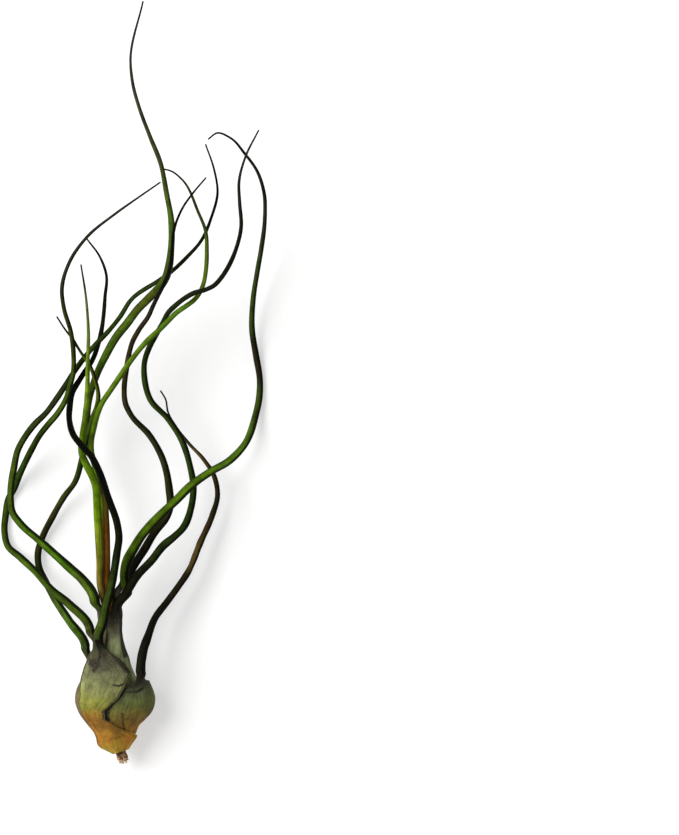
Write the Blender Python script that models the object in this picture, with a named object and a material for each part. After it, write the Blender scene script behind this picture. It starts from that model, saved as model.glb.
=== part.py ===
# A bulbosa air plant, as picked, lying on a surface with its leaf tips towards +Y.
# Eleven leaves grow from a short dry stem. Each is a thin sheath, nested round the hollow bulb
# like the coats of an onion, that narrows and rolls up into a long wandering blade.

import math

import bmesh
import bpy
import numpy as np

MM = 0.001

# Driving dimensions, in millimetres
PIXEL = 0.35                     # real length of one pixel of the photograph
PIXEL_LEVEL = 20.0               # height at which a pixel has that length
CAMERA_HEIGHT = 2600.0           # the photograph looks straight down from here
ORIGIN_PIXEL = (133.0, 386.5)    # the pixel over the frame's origin
CAMERA_PIXEL = (339.5, 417.5)    # the pixel under the camera
WALL = 0.65                      # thickness of a sheath
CLEARANCE = 0.35                 # air between neighbours that touch on the real plant
SHEATH_FOOT = 3.0                # a sheath starts where its layer has this radius
STRIP = 2.8                      # half the width of a sheath where it starts to roll up
LIFT = 7.0                       # height over which a sheath narrows and rolls up
NARROWED = 0.35                  # share of that height left when it is down to its strip
ROLL_START = 0.8                 # share of that height left when it starts to thicken into a tube
FLOOR_LAYER = 2                  # the layer that rests on the surface
AXIS_STEP = 0.5                  # the bulb's direction is read this far above and below
SETTLE = (-1.0, 6.0)             # past an outer throat, where the inner layers move out into its room

# The bulb: heights along its axis, with the radius, the widening across and the axis itself
BULB_RADIUS = [(0, 1.6), (1.8, 3.3), (4.9, 6.5), (8.4, 8.5), (11.6, 10.6), (15, 12.8), (18.9, 13.8),
               (23.5, 13.3), (27, 12.1), (30.5, 10.9), (34, 9.9), (37.5, 8.9), (41, 8.0),
               (46.2, 6.8), (50.8, 5.9), (55, 5.4), (60, 5.1), (64, 5.0)]
BULB_WIDEN = [(0, 1.0), (6, 1.06), (14, 1.15), (27, 1.14), (36, 1.04), (48, 1.0), (64, 1.0)]
LAYER_PITCH = [(0, 1.1), (10, 1.12), (15, 1.18), (27, 1.18), (36, 1.08), (50, 0.98), (64, 0.98)]
BULB_AXIS = [(-3, -3.2, -132.6, 8.6), (0, -4.2, -129.7, 8.8), (8.4, -6.5, -121.3, 9.1),
             (18.9, -7.2, -110.8, 10.0), (30.5, -7.2, -99.2, 13.0), (41, -7.3, -88.7, 16.3),
             (50.8, -7.6, -78.9, 19.0), (60, -8.0, -69.9, 21.2), (64, -8.2, -66.0, 22.0)]

# Faces of a solid: points across a sheath, round a blade, and rings along a blade
ACROSS = 12
ROUND = 8
BLADE_RINGS = 42
CORE_RINGS = 48
SHEATH_STEP = 3.0                # spacing of a sheath's rings
LIFT_RINGS = 7
FOOT_ROOM = 1.2                  # least spacing after a sheath's first ring
LIFT_ROOM = 1.0                  # and before it starts to narrow

# The leaves with a sheath, from the outermost layer inwards.
# turn: degrees round the bulb from its top side towards +X, where the leaf's midline runs
# throat: height on the bulb where the blade begins
# more_rings: heights of rings between the even ones, where its margin turns fast
# wrap: height, then degrees that the sheath reaches to the left and right of its midline
# width: fraction of the blade's length, then its thickness
# route: pixel across, pixel down and height above the surface, from the bulb to the tip
SHEATHED = {
    "leaf_front": {
        "turn": -30, "throat": 44, "more_rings": (4.5, 7.5, 10.5),
        "wrap": [(2, 85, 112), (5, 50, 98), (7.5, 24, 70), (10, 15, 42), (12, 14, 29),
                 (14, 14, 22), (16.5, 15, 20), (19, 17, 22), (22, 19, 31), (25, 23, 41),
                 (29, 31, 52), (33, 36, 64), (37.5, 32, 45), (41, 28, 26)],
        "width": [(0, 3.8), (0.06, 3.3), (0.12, 3.0), (0.4, 2.4), (0.62, 2.0), (0.85, 1.3), (1, 0.6)],
        "route": [(103, 621, 28.6), (106, 606, 29.3), (112, 583, 31), (117, 553, 33), (119, 538, 34),
                  (117, 523, 35), (109, 500, 36), (98, 469, 37), (91, 456, 37), (81, 445, 36.5),
                  (73, 434, 35.5), (69.5, 421, 34), (70, 405, 32), (73, 391, 30), (79, 381, 28),
                  (84, 373, 26.5), (92, 361, 25), (98, 345, 24), (101, 333, 24), (104, 311, 25),
                  (105, 297, 26.5), (106.5, 276, 29), (100, 257, 31), (87, 239, 33)],
        "colour": (0.036, 0.065, 0.016)},
    "leaf_outer_right": {
        "turn": 52, "throat": 32,
        "wrap": [(2, 95, 95), (8, 80, 88), (15, 76, 86), (19, 72, 84), (22, 64, 76),
                 (25, 50, 60), (28, 38, 44), (32, 28, 34)],
        "width": [(0, 3.6), (0.12, 2.8), (0.5, 2.2), (0.75, 1.4), (0.88, 0.8), (1, 0.6)],
        "route": [(143, 651, 19.5), (148, 636, 17.5), (155, 618, 15.5), (167, 602, 13.5),
                  (178, 587, 12), (187.5, 573, 11), (201, 541, 9.5), (212, 516, 9), (217.5, 495, 8.7),
                  (214, 476, 9), (204, 460, 10), (188.5, 443, 11.6), (175, 425, 13.8),
                  (168, 412, 15.3), (165.5, 399, 16.5), (160.7, 391, 17)],
        "colour": (0.03, 0.026, 0.013)},
    "leaf_low_left": {
        "turn": -110, "throat": 37.5,
        "wrap": [(2, 110, 90), (8, 122, 60), (19, 125, 64), (23, 114, 60), (27, 92, 52),
                 (30, 72, 44), (33, 58, 30)],
        "width": [(0, 3.4), (0.12, 2.8), (0.4, 2.3), (0.62, 1.9), (0.82, 1.4), (1, 0.6)],
        "route": [(69, 620, 12), (57, 602, 9.5), (50, 590, 7.5), (45, 580, 5.6), (39.6, 569, 4),
                  (38, 553, 2.4), (42.5, 537, 2.2), (52, 518, 3.5), (64, 497, 6.5), (75, 482, 10),
                  (81, 463, 14), (83.5, 450, 17.2), (88, 434, 20), (93, 416, 22), (96.5, 407, 23),
                  (98.3, 398, 24.5), (97.6, 389, 26), (95, 380, 28), (91, 368, 30.2),
                  (87, 361, 31.2), (82, 354, 31.5), (77, 346, 31.4), (73, 339, 31.2),
                  (67, 332, 31.2), (57, 317, 31.7)],
        "colour": (0.065, 0.10, 0.02)},
    "leaf_left": {
        "turn": -64, "throat": 45.5,
        "wrap": [(2, 90, 90), (19, 95, 95), (34, 70, 60), (41, 45, 40)],
        "width": [(0, 3.4), (0.1, 2.8), (0.35, 2.4), (0.55, 2.0), (0.8, 1.3), (1, 0.6)],
        "route": [(69, 604, 16.5), (52, 590, 13.3), (34, 570, 8.5), (20, 557, 5.2), (8, 546, 2.7),
                  (4.6, 531, 1.6), (6, 514, 1.1), (9, 498, 1.3), (14, 489, 1.9), (19, 476, 3.5),
                  (25, 463, 6), (32, 449, 9), (40, 435, 12.5), (47, 426, 15), (58, 413, 19),
                  (66, 399, 22.8), (69.8, 386, 26.2), (73, 375, 29.2), (73.7, 354, 32.5),
                  (71, 332, 35), (64, 308, 36.5), (62, 289, 37.3), (69.6, 262, 38.5), (87, 237, 39),
                  (115, 214, 39.5), (139, 197, 40), (160, 182.5, 40)],
        "colour": (0.06, 0.12, 0.018)},
    "leaf_right": {
        "turn": 14, "throat": 54.5,
        "wrap": [(2, 90, 90), (19, 95, 95), (32, 80, 70), (41, 40, 34), (47, 38, 30), (51, 35, 28)],
        "width": [(0, 3.2), (0.1, 2.8), (0.35, 2.2), (0.6, 1.9), (0.85, 1.3), (1, 0.6)],
        "route": [(124, 596, 26.4), (136, 577, 25.5), (152, 560, 23), (163, 546, 20),
                  (175, 536, 17), (183, 528, 15), (191, 508, 12), (193.4, 487, 11.3),
                  (190, 466, 12.6), (182, 441, 15.3), (169, 420, 18.3), (150, 399, 22.5),
                  (144.7, 380, 25.2), (144.7, 361, 27.3), (149, 348, 29), (157, 333, 30.5),
                  (162, 324, 31.5), (168, 313, 33.3), (176, 305, 35.9), (185, 298, 38.2),
                  (194, 293, 39.3), (206, 289.5, 40), (214, 285.5, 39.7), (221, 278, 39.2),
                  (227, 269, 38.7), (236, 249, 38), (241, 228, 38), (239.5, 201, 38.6),
                  (239, 182, 39.6), (245, 158, 41.5), (258.5, 130.5, 45)],
        "colour": (0.035, 0.085, 0.017)},
    "leaf_upper_left": {
        "turn": -52, "throat": 56,
        "wrap": [(2, 90, 90), (19, 95, 95), (36, 75, 75), (50, 70, 62)],
        "width": [(0, 3.8), (0.1, 3.0), (0.35, 2.3), (0.6, 1.7), (0.8, 1.3), (1, 0.6)],
        "route": [(83, 580, 20.3), (70, 568, 19.8), (40, 541, 18.5), (20, 523, 17), (12.5, 512, 16.3),
                  (10.7, 500, 16), (11, 487, 16), (14, 468, 16.4), (18, 450, 17), (25, 437, 17.6),
                  (34, 425, 18.4), (46, 413, 19.4), (55, 401, 21), (65, 386, 23), (72, 375, 25),
                  (85, 357, 28), (97, 343, 29.8), (105, 335, 30.3), (120, 317, 30.3),
                  (131, 300, 30), (158, 281, 30), (171, 272, 30.4), (187, 257, 31.5),
                  (201, 241, 33), (211.5, 217, 35), (217.5, 193, 38), (214, 169, 41),
                  (205.7, 144.6, 44)],
        "colour": (0.07, 0.15, 0.02)},
    "leaf_hooked": {
        "turn": 76, "throat": 57.5,
        "wrap": [(2, 90, 90), (19, 90, 90), (36, 60, 60), (50, 42, 42)],
        "width": [(0, 3.4), (0.05, 3.7), (0.15, 3.4), (0.3, 2.8), (0.5, 2.4), (0.7, 1.8), (0.9, 1.1),
                  (1, 0.6)],
        "route": [(124, 577, 23.4), (127, 560, 24.2), (133, 549, 24.7), (141, 536, 25),
                  (152, 523, 25), (163, 512, 24.6), (175, 501, 24), (189, 487, 22.3),
                  (209, 472.5, 18), (230, 460, 12), (246, 442, 7), (255.5, 415, 2.8),
                  (258.8, 400, 1.6), (259.8, 381, 1.1), (256, 356, 2.2), (252, 330, 5),
                  (253, 300, 9), (257, 273, 13), (261, 250, 16.5), (264.7, 220, 21),
                  (264, 193, 25), (257, 171, 28), (245, 154, 30.5), (230.5, 138, 32),
                  (217, 133, 32.5), (208.5, 139, 31.5)],
        "colour": (0.07, 0.16, 0.02)},
    "leaf_inner_right": {
        "turn": 132, "throat": 61,
        "wrap": [(2, 90, 90), (19, 85, 85), (36, 60, 60), (50, 40, 45)],
        "width": [(0, 2.8), (0.15, 2.8), (0.35, 2.2), (0.6, 1.8), (0.8, 1.2), (1, 0.6)],
        "route": [(127, 579, 17.2), (132, 569, 16.8), (144, 550, 16.5), (156, 530.5, 16.5),
                  (166, 518, 16.5), (169.5, 509, 16.7), (169, 487, 17.5), (163, 460, 19),
                  (150, 436, 21), (131, 415, 23), (125.6, 404, 24), (124.2, 388, 25.2),
                  (126.3, 370, 26.5), (129, 354, 28), (132, 343, 29), (139.5, 329, 30.7),
                  (148, 317, 32.7), (153, 306, 34.7), (158.7, 294.5, 36.3), (164.4, 283, 37.6),
                  (168, 274, 38.4), (171, 262, 39.5), (172, 250, 40.5), (174, 230, 41.6),
                  (182, 209, 43), (193, 193, 44.5), (205.7, 178, 46)],
        "colour": (0.05, 0.06, 0.016)},
}

# The young leaves in the middle, whose feet stand inside the bulb and have no sheath to show
CORE = {
    "leaf_tallest": {
        "width": [(0, 0.9), (0.08, 1.6), (0.2, 2.0), (0.42, 2.0), (0.5, 2.8), (0.6, 2.9), (0.72, 2.0),
                  (0.88, 1.2), (1, 0.6)],
        "route": [(113, 722, 8.3), (111, 690, 10.0), (109.8, 660, 13.4), (108.4, 625, 16.5),
                  (107.6, 606, 18.0), (103.5, 585, 18.0), (103.5, 540, 17.6), (103, 500, 16.4),
                  (98, 478, 15.2), (92, 458, 14.3), (88, 445, 14.0), (87.4, 422, 15.4),
                  (89, 403, 18.2), (91.5, 391, 20.5), (96, 376.5, 23.5), (105, 357, 26.5),
                  (117, 336, 29), (127, 323.5, 30.5), (138, 309, 31.5), (148, 299, 32.3),
                  (155.5, 291.5, 33), (162, 284, 33.4), (166, 277, 34), (169, 266, 35),
                  (171, 250, 37), (171.4, 222, 40), (166.5, 193, 43.5), (160.5, 163, 47),
                  (150, 136.5, 50), (139, 107, 53.5), (133, 85, 56), (130.5, 62, 58),
                  (143, 1.3, 61)],
        "colour": (0.05, 0.12, 0.02)},
    "leaf_arching": {
        "width": [(0, 0.9), (0.08, 1.6), (0.18, 2.1), (0.26, 2.4), (0.35, 2.1), (0.6, 1.9),
                  (0.8, 1.6), (1, 0.6)],
        "route": [(116, 722, 9.7), (114.3, 690, 11.8), (113.6, 660, 14.8), (112.2, 625, 18.2),
                  (111.6, 606, 19.9), (107, 586, 20.2), (107, 560, 20.6), (106.3, 520, 21),
                  (105, 500, 21.5), (102, 485, 22.2), (97, 468, 23), (91.5, 452, 24),
                  (91.4, 440, 25), (93.8, 428, 26), (97, 415, 27), (101.5, 404, 28),
                  (110, 391, 29), (117.5, 380, 30), (132, 359, 32), (149, 339, 34), (158, 331, 34.5),
                  (167, 322, 35), (176, 313, 35.3), (186, 306, 35.3), (194, 300, 35),
                  (199.5, 293, 35), (203, 285, 35.3), (206, 269, 36), (206.8, 250, 37),
                  (206, 233, 38), (198, 211.5, 39.5), (182, 179.5, 42), (171, 171, 43),
                  (163.5, 169, 43.4)],
        "colour": (0.11, 0.2, 0.02)},
    "leaf_youngest": {
        "width": [(0, 0.9), (0.12, 1.6), (0.3, 2.2), (0.4, 2.8), (0.5, 2.7), (0.62, 2.3),
                  (0.78, 1.5), (1, 0.6)],
        "route": [(112.5, 722, 10.6), (109.8, 690, 12.8), (108.3, 660, 16.0), (105.9, 625, 19.2),
                  (104.5, 606, 20.9), (100.2, 586, 21.9), (100, 560, 22.2), (98.6, 530, 22.4),
                  (97, 505, 23), (96, 488, 23.8), (91.5, 475, 24.6), (85.5, 463, 25.5),
                  (81.8, 453, 26.5), (82.6, 437, 28), (83.6, 428, 29), (85.5, 415, 30),
                  (86.8, 402, 31.2), (87.4, 389, 32.5), (87.6, 376, 33.6), (87.8, 361, 34.5),
                  (88.4, 332, 36.5), (87.4, 313, 38), (85.7, 295, 39.5), (81, 265, 42)],
        "colour": (0.13, 0.24, 0.02)},
}

# The stem: radius at heights along the bulb's axis, and the broken root stubs at its foot
STEM_PROFILE = [(-1.9, 0.9), (-1.6, 1.5), (-0.7, 1.9), (0.4, 1.75), (1.5, 1.8), (4, 2.05), (9.0, 2.05),
                (10.8, 0.8)]
STEM_COLOUR = (0.2, 0.11, 0.045)
STEM_SIDES = 14
ROOT_COUNT = 5
ROOT_LENGTH = 2.2
ROOT_THICKNESS = 1.1
ROOT_SIDES = 7
ROOT_TAPER = (1.0, 1.0, 0.85, 0.6)
ROOT_INSIDE = 0.6                # how far a root starts inside the stem
ROOT_OFFSET = 0.45               # its distance from the stem's axis there
ROOT_TURN = 0.5                  # where the first one stands, in radians
ROOT_SPREAD = 38.0
ROOT_SPREAD_CHANGE = 10.0
ROOT_LENGTH_CHANGE = 0.25
ROOT_HEIGHT = -0.9               # where the roots leave the stem, along the bulb's axis


# Read a smooth cubic through the values at the knots, at the places asked for
def smooth(at, knots, values):
    knots = np.asarray(knots, float)
    values = np.asarray(values, float)
    slopes = np.gradient(values, knots, axis=0)
    at = np.clip(np.asarray(at, float), knots[0], knots[-1])
    low = np.clip(np.searchsorted(knots, at) - 1, 0, len(knots) - 2)
    span = knots[low + 1] - knots[low]
    part = (at - knots[low]) / span
    if values.ndim > 1:
        span = span[..., None]
        part = part[..., None]
    rise = part * part * (3 - 2 * part)
    ends = (1 - rise) * values[low] + rise * values[low + 1]
    bend = part * (1 - part) * span * ((1 - part) * slopes[low] - part * slopes[low + 1])
    return ends + bend


# Read a table of (place, value, ...) pairs smoothly
def table(at, rows):
    rows = np.asarray(rows, float)
    values = rows[:, 1] if rows.shape[1] == 2 else rows[:, 1:]
    return smooth(at, rows[:, 0], values)


def ease(value, start, end):
    part = np.clip((value - start) / (end - start), 0, 1)
    return part * part * (3 - 2 * part)


def unit(vectors):
    return vectors / np.linalg.norm(vectors, axis=-1, keepdims=True)


# Pixels and heights become millimetres. A point nearer the camera looks further out than it is.
def place(route):
    route = np.asarray(route, float)
    middle = (np.array(CAMERA_PIXEL) - ORIGIN_PIXEL) * (PIXEL, -PIXEL)
    flat = (route[:, :2] - ORIGIN_PIXEL) * (PIXEL, -PIXEL)
    pull = 1 - (route[:, 2:] - PIXEL_LEVEL) / CAMERA_HEIGHT
    return np.hstack([middle + (flat - middle) * pull, route[:, 2:]])


# The bulb's axis at a height: its point, its direction, its top side and its +X side
def bulb_axis(height):
    height = np.atleast_1d(np.asarray(height, float))
    point = table(height, BULB_AXIS)
    along = unit(table(height + AXIS_STEP, BULB_AXIS) - table(height - AXIS_STEP, BULB_AXIS))
    up = np.array([0.0, 0.0, 1.0])
    front = unit(up - along * (along @ up)[:, None])
    return point, along, front, np.cross(along, front)


# The outer radius of a layer. Where an outer sheath has ended, the ones inside it take its room.
def layer_radius(layer, height):
    radius = table(height, BULB_RADIUS)
    pitch = table(height, LAYER_PITCH)
    for leaf in list(SHEATHED.values())[:layer]:
        ended = ease(height, leaf["throat"] + SETTLE[0], leaf["throat"] + SETTLE[1])
        radius = radius - pitch * (1 - ended)
    return radius


# Points of a sheath at each height: across its outer face, then back across its inner face
def sheath_rings(leaf, layer, height):
    point, _, front, side = bulb_axis(height)
    wrap = table(height, leaf["wrap"])
    radius = layer_radius(layer, height)
    narrow = np.degrees(STRIP / radius)
    close = ease(height, leaf["throat"] - LIFT, leaf["throat"] - NARROWED * LIFT)
    reach = wrap + (narrow[:, None] - wrap) * close[:, None]
    share = np.linspace(0, 1, ACROSS)
    angle = np.radians(leaf["turn"] - reach[:, :1] + share * (reach[:, :1] + reach[:, 1:]))
    angle = np.hstack([angle, angle[:, ::-1]])
    inner = np.repeat([0.0, 1.0], ACROSS)
    distance = radius[:, None] - inner * WALL
    widen = table(height, BULB_WIDEN)[:, None]
    rings = (point[:, None]
             + (distance * np.cos(angle))[..., None] * front[:, None]
             + (distance * widen * np.sin(angle))[..., None] * side[:, None])
    floor = max(layer - FLOOR_LAYER, 0) * table(height, LAYER_PITCH)[:, None] + inner * WALL
    rings[..., 2] = np.maximum(rings[..., 2], floor)
    return rings


# Points round a blade: its back half comes first, as on the sheath that it grows out of
def blade_rings(centre, along, back, thickness, count):
    side = np.cross(along, back)
    angle = np.radians(180.0 / count - 90 + np.arange(count) * 360.0 / count)
    radius = thickness[:, None, None] / 2
    rings = centre[:, None] + radius * (np.cos(angle)[:, None] * back[:, None]
                                        + np.sin(angle)[:, None] * side[:, None])
    rings[..., 2] = np.maximum(rings[..., 2], 0)
    return rings


# Where a blade stands on its sheath: just clear of the layer below, on the sheath's midline
def blade_foot(leaf, layer, height):
    point, along, front, side = bulb_axis(height)
    turn = math.radians(leaf["turn"])
    widen = table(height, BULB_WIDEN)[:, None]
    back = front * math.cos(turn) + side * math.sin(turn) * widen
    distance = layer_radius(layer, height) + CLEARANCE + leaf["width"][0][1] / 2
    return point + back * distance[:, None], along, unit(back)


# Points along a route at even spacing, with their directions
def walk(points, first, count):
    knots = np.concatenate([[0], np.cumsum(np.linalg.norm(np.diff(points, axis=0), axis=1))])
    at = np.linspace(knots[first], knots[-1], count)
    path = smooth(at, knots, points)
    return path, unit(np.gradient(path, axis=0))


# Carry the back's direction along a path without letting it spin
def carry(along, back):
    backs = []
    for direction in along:
        back = back - direction * np.dot(back, direction)
        back = back / np.linalg.norm(back)
        backs.append(back)
    return np.array(backs)


# Join rings of points into one closed solid. A fine ring meets a coarse one three to one.
def skin(rings):
    points = np.vstack(rings)
    faces = []
    start = 0
    for ring, after in zip(rings[:-1], rings[1:]):
        count = len(ring)
        other = start + count
        for i in range(count):
            j = (i + 1) % count
            if len(after) == count:
                faces.append((start + i, start + j, other + j))
                faces.append((start + i, other + j, other + i))
            elif i % 3 == 2:
                faces.append((start + i, start + j, other + j // 3))
                faces.append((start + i, other + j // 3, other + i // 3))
            else:
                faces.append((start + i, start + j, other + i // 3))
        start = other
    half = len(rings[0]) // 2
    for i in range(half - 1):
        faces.append((i, i + 1, 2 * half - 2 - i))
        faces.append((i, 2 * half - 2 - i, 2 * half - 1 - i))
    faces.append(tuple(range(start, start + len(rings[-1]))))
    return points, faces


def material(name, colour, roughness=0.5):
    made = bpy.data.materials.new(name)
    made.use_nodes = True
    shader = made.node_tree.nodes["Principled BSDF"]
    shader.inputs["Base Color"].default_value = (*colour, 1.0)
    shader.inputs["Roughness"].default_value = roughness
    shader.inputs["Metallic"].default_value = 0.0
    return made


def add_object(name, points, faces, collection, colour, roughness=0.5):
    mesh = bpy.data.meshes.new(name)
    mesh.from_pydata((points * MM).tolist(), [], faces)
    work = bmesh.new()
    work.from_mesh(mesh)
    bmesh.ops.recalc_face_normals(work, faces=work.faces)
    work.to_mesh(mesh)
    work.free()
    mesh.shade_smooth()
    mesh.set_sharp_from_angle(angle=math.radians(40))
    made = bpy.data.objects.new(name, mesh)
    made.data.materials.append(material(name + "_skin", colour, roughness))
    collection.objects.link(made)
    return made


# A leaf that shows its sheath: sheath, roll-up and blade in one solid
def sheathed_leaf(name, layer, collection):
    leaf = SHEATHED[name]
    heights = np.linspace(0, 20, 401)
    start = heights[np.argmax(layer_radius(layer, heights) >= SHEATH_FOOT)]
    throat = leaf["throat"]
    steps = np.arange(0, throat, SHEATH_STEP)
    steps = np.sort(np.concatenate([steps, leaf.get("more_rings", ())]))
    steps = steps[(steps > start + FOOT_ROOM) & (steps < throat - LIFT - LIFT_ROOM)]
    height = np.concatenate([[start], steps, np.linspace(throat - LIFT, throat, LIFT_RINGS)])
    strip = sheath_rings(leaf, layer, height)
    centre, along, back = blade_foot(leaf, layer, height)
    thickness = np.full(len(height), leaf["width"][0][1])
    tube = blade_rings(centre, along, back, thickness, 2 * ACROSS)
    rolled = ease(height, throat - ROLL_START * LIFT, throat)[:, None, None]
    sheath = strip * (1 - rolled) + tube * rolled

    points = np.vstack([centre[-2:], place(leaf["route"])])
    path, forward = walk(points, 1, BLADE_RINGS + 1)
    width = table(np.linspace(0, 1, BLADE_RINGS + 1), leaf["width"])
    blade = blade_rings(path, forward, carry(forward, back[-1]), width, ROUND)[1:]
    solid = skin(list(sheath) + list(blade))
    return add_object(name, *solid, collection, leaf["colour"])


# A young leaf: a rolled blade all the way
def core_leaf(name, collection):
    leaf = CORE[name]
    path, forward = walk(place(leaf["route"]), 0, CORE_RINGS)
    width = table(np.linspace(0, 1, CORE_RINGS), leaf["width"])
    blade = blade_rings(path, forward, carry(forward, np.array([0.0, 0.0, 1.0])), width, ROUND)
    return add_object(name, *skin(list(blade)), collection, leaf["colour"])


# The stem's own solid, turned round the bulb's axis
def stem_body(collection):
    height, radius = np.array(STEM_PROFILE).T
    point, _, front, side = bulb_axis(height)
    angle = np.radians(np.arange(STEM_SIDES) * 360.0 / STEM_SIDES)
    reach = radius[:, None, None] * (np.cos(angle)[:, None] * front[:, None]
                                     + np.sin(angle)[:, None] * side[:, None])
    return add_object("stem", *skin(list(point[:, None] + reach)), collection, STEM_COLOUR, 0.85)


# Broken root stubs spread from the stem's foot and are joined to it
def add_roots(stem, collection, helpers):
    foot, along, front, side = [value[0] for value in bulb_axis(ROOT_HEIGHT)]
    for index in range(ROOT_COUNT):
        turn = 2 * math.pi * index / ROOT_COUNT + ROOT_TURN
        lean = math.radians(ROOT_SPREAD + ROOT_SPREAD_CHANGE * math.sin(2.6 * index))
        outward = front * math.cos(turn) + side * math.sin(turn)
        direction = outward * math.sin(lean) - along * math.cos(lean)
        length = ROOT_LENGTH * (1 - ROOT_LENGTH_CHANGE * (1 - math.cos(1.9 * index)))
        reach = np.linspace(-ROOT_INSIDE, length, len(ROOT_TAPER))
        centre = foot + outward * ROOT_OFFSET + direction * reach[:, None]
        width = ROOT_THICKNESS * np.array(ROOT_TAPER)
        forward = np.repeat(direction[None], len(reach), axis=0)
        rings = blade_rings(centre, forward, carry(forward, outward), width, ROOT_SIDES + 1)
        root = add_object(f"root_{index}", *skin(list(rings)), helpers, STEM_COLOUR, 0.85)
        root.hide_render = True
        root.display_type = "WIRE"
    join = stem.modifiers.new("roots", "BOOLEAN")
    join.operation = "UNION"
    join.operand_type = "COLLECTION"
    join.collection = helpers


def build():
    for old in list(bpy.data.objects):
        bpy.data.objects.remove(old, do_unlink=True)
    plant = bpy.data.collections.new("bulbosa_air_plant")
    helpers = bpy.data.collections.new("root_stubs")
    bpy.context.scene.collection.children.link(plant)
    bpy.context.scene.collection.children.link(helpers)
    for layer, name in enumerate(SHEATHED):
        sheathed_leaf(name, layer, plant)
    for name in CORE:
        core_leaf(name, plant)
    add_roots(stem_body(plant), plant, helpers)


build()
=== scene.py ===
import math

import bpy
import numpy as np
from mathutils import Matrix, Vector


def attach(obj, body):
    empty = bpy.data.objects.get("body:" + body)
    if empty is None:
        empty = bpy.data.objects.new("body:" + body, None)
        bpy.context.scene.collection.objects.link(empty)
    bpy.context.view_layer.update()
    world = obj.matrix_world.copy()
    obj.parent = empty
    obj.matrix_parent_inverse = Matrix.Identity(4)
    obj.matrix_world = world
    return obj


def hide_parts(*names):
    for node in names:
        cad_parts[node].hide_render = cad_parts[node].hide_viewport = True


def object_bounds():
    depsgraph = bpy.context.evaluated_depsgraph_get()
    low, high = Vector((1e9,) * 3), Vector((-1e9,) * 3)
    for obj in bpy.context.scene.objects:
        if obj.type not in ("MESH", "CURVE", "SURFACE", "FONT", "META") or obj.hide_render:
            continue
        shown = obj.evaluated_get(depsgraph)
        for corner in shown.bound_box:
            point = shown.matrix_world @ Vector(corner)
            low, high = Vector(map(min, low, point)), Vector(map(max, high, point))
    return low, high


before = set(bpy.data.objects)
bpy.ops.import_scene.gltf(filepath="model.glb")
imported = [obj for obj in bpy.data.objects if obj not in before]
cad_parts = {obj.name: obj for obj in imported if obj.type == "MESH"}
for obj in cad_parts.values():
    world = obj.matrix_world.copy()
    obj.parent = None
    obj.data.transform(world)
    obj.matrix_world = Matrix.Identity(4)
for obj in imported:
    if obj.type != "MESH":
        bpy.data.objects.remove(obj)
cadLow, cadHigh = [np.array(corner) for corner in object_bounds()]
print("frame loaded")

millimetre = 0.001

# How the photograph was taken, in millimetres: it looks straight down on the plant
photo = {
    "pixel": 0.35,  # real length of a pixel, at the height below
    "level": 20.0,
    "height": 2600.0,  # camera above that level
    "originPixel": (133.0, 386.5),
    "cameraPixel": (339.5, 417.5),
    "rows": 835,
    "sensor": 36.0,
    "clip": (0.05, 20.0),  # nearest and furthest that the camera sees, in metres
}
pixelSize = np.array([photo["pixel"], -photo["pixel"]])
pictureMiddle = (np.array(photo["cameraPixel"]) - photo["originPixel"]) * pixelSize

# The bulb, by height along its axis: radius, widening across, spacing of the layers, axis
bulb = {
    "radius": [(0, 1.6), (1.8, 3.3), (4.9, 6.5), (8.4, 8.5), (11.6, 10.6), (15, 12.8), (18.9, 13.8),
               (23.5, 13.3), (27, 12.1), (30.5, 10.9), (34, 9.9), (37.5, 8.9), (41, 8.0),
               (46.2, 6.8), (50.8, 5.9), (55, 5.4), (60, 5.1), (64, 5.0)],
    "widen": [(0, 1.0), (6, 1.06), (14, 1.15), (27, 1.14), (36, 1.04), (48, 1.0), (64, 1.0)],
    "pitch": [(0, 1.1), (10, 1.12), (15, 1.18), (27, 1.18), (36, 1.08), (50, 0.98), (64, 0.98)],
    "axis": [(-3, -3.2, -132.6, 8.6), (0, -4.2, -129.7, 8.8), (8.4, -6.5, -121.3, 9.1),
             (18.9, -7.2, -110.8, 10.0), (30.5, -7.2, -99.2, 13.0), (41, -7.3, -88.7, 16.3),
             (50.8, -7.6, -78.9, 19.0), (60, -8.0, -69.9, 21.2), (64, -8.2, -66.0, 22.0)],
    "settle": (-1.0, 6.0),  # past an outer throat, where the inner layers move out into its room
    "wall": 0.65,
    "clearance": 0.35,  # air between neighbouring layers
    "footRadius": 3.0,  # a sheath starts where its layer has this radius
    "footHeights": (0, 20, 401),  # heights looked through for that place: from, to, how many
    "strip": 2.8,  # half the width of a sheath where it starts to roll up
    "lift": 7.0,  # height over which it narrows and rolls up
    "narrowed": 0.35,  # share of that left when it is down to its strip
    "rollStart": 0.8,  # share of that left when it starts to thicken into a tube
    "lead": 1.17,  # a point this far below a blade's foot gives its direction there
    "floorLayer": 2,  # the layer that rests on the surface
}

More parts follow.
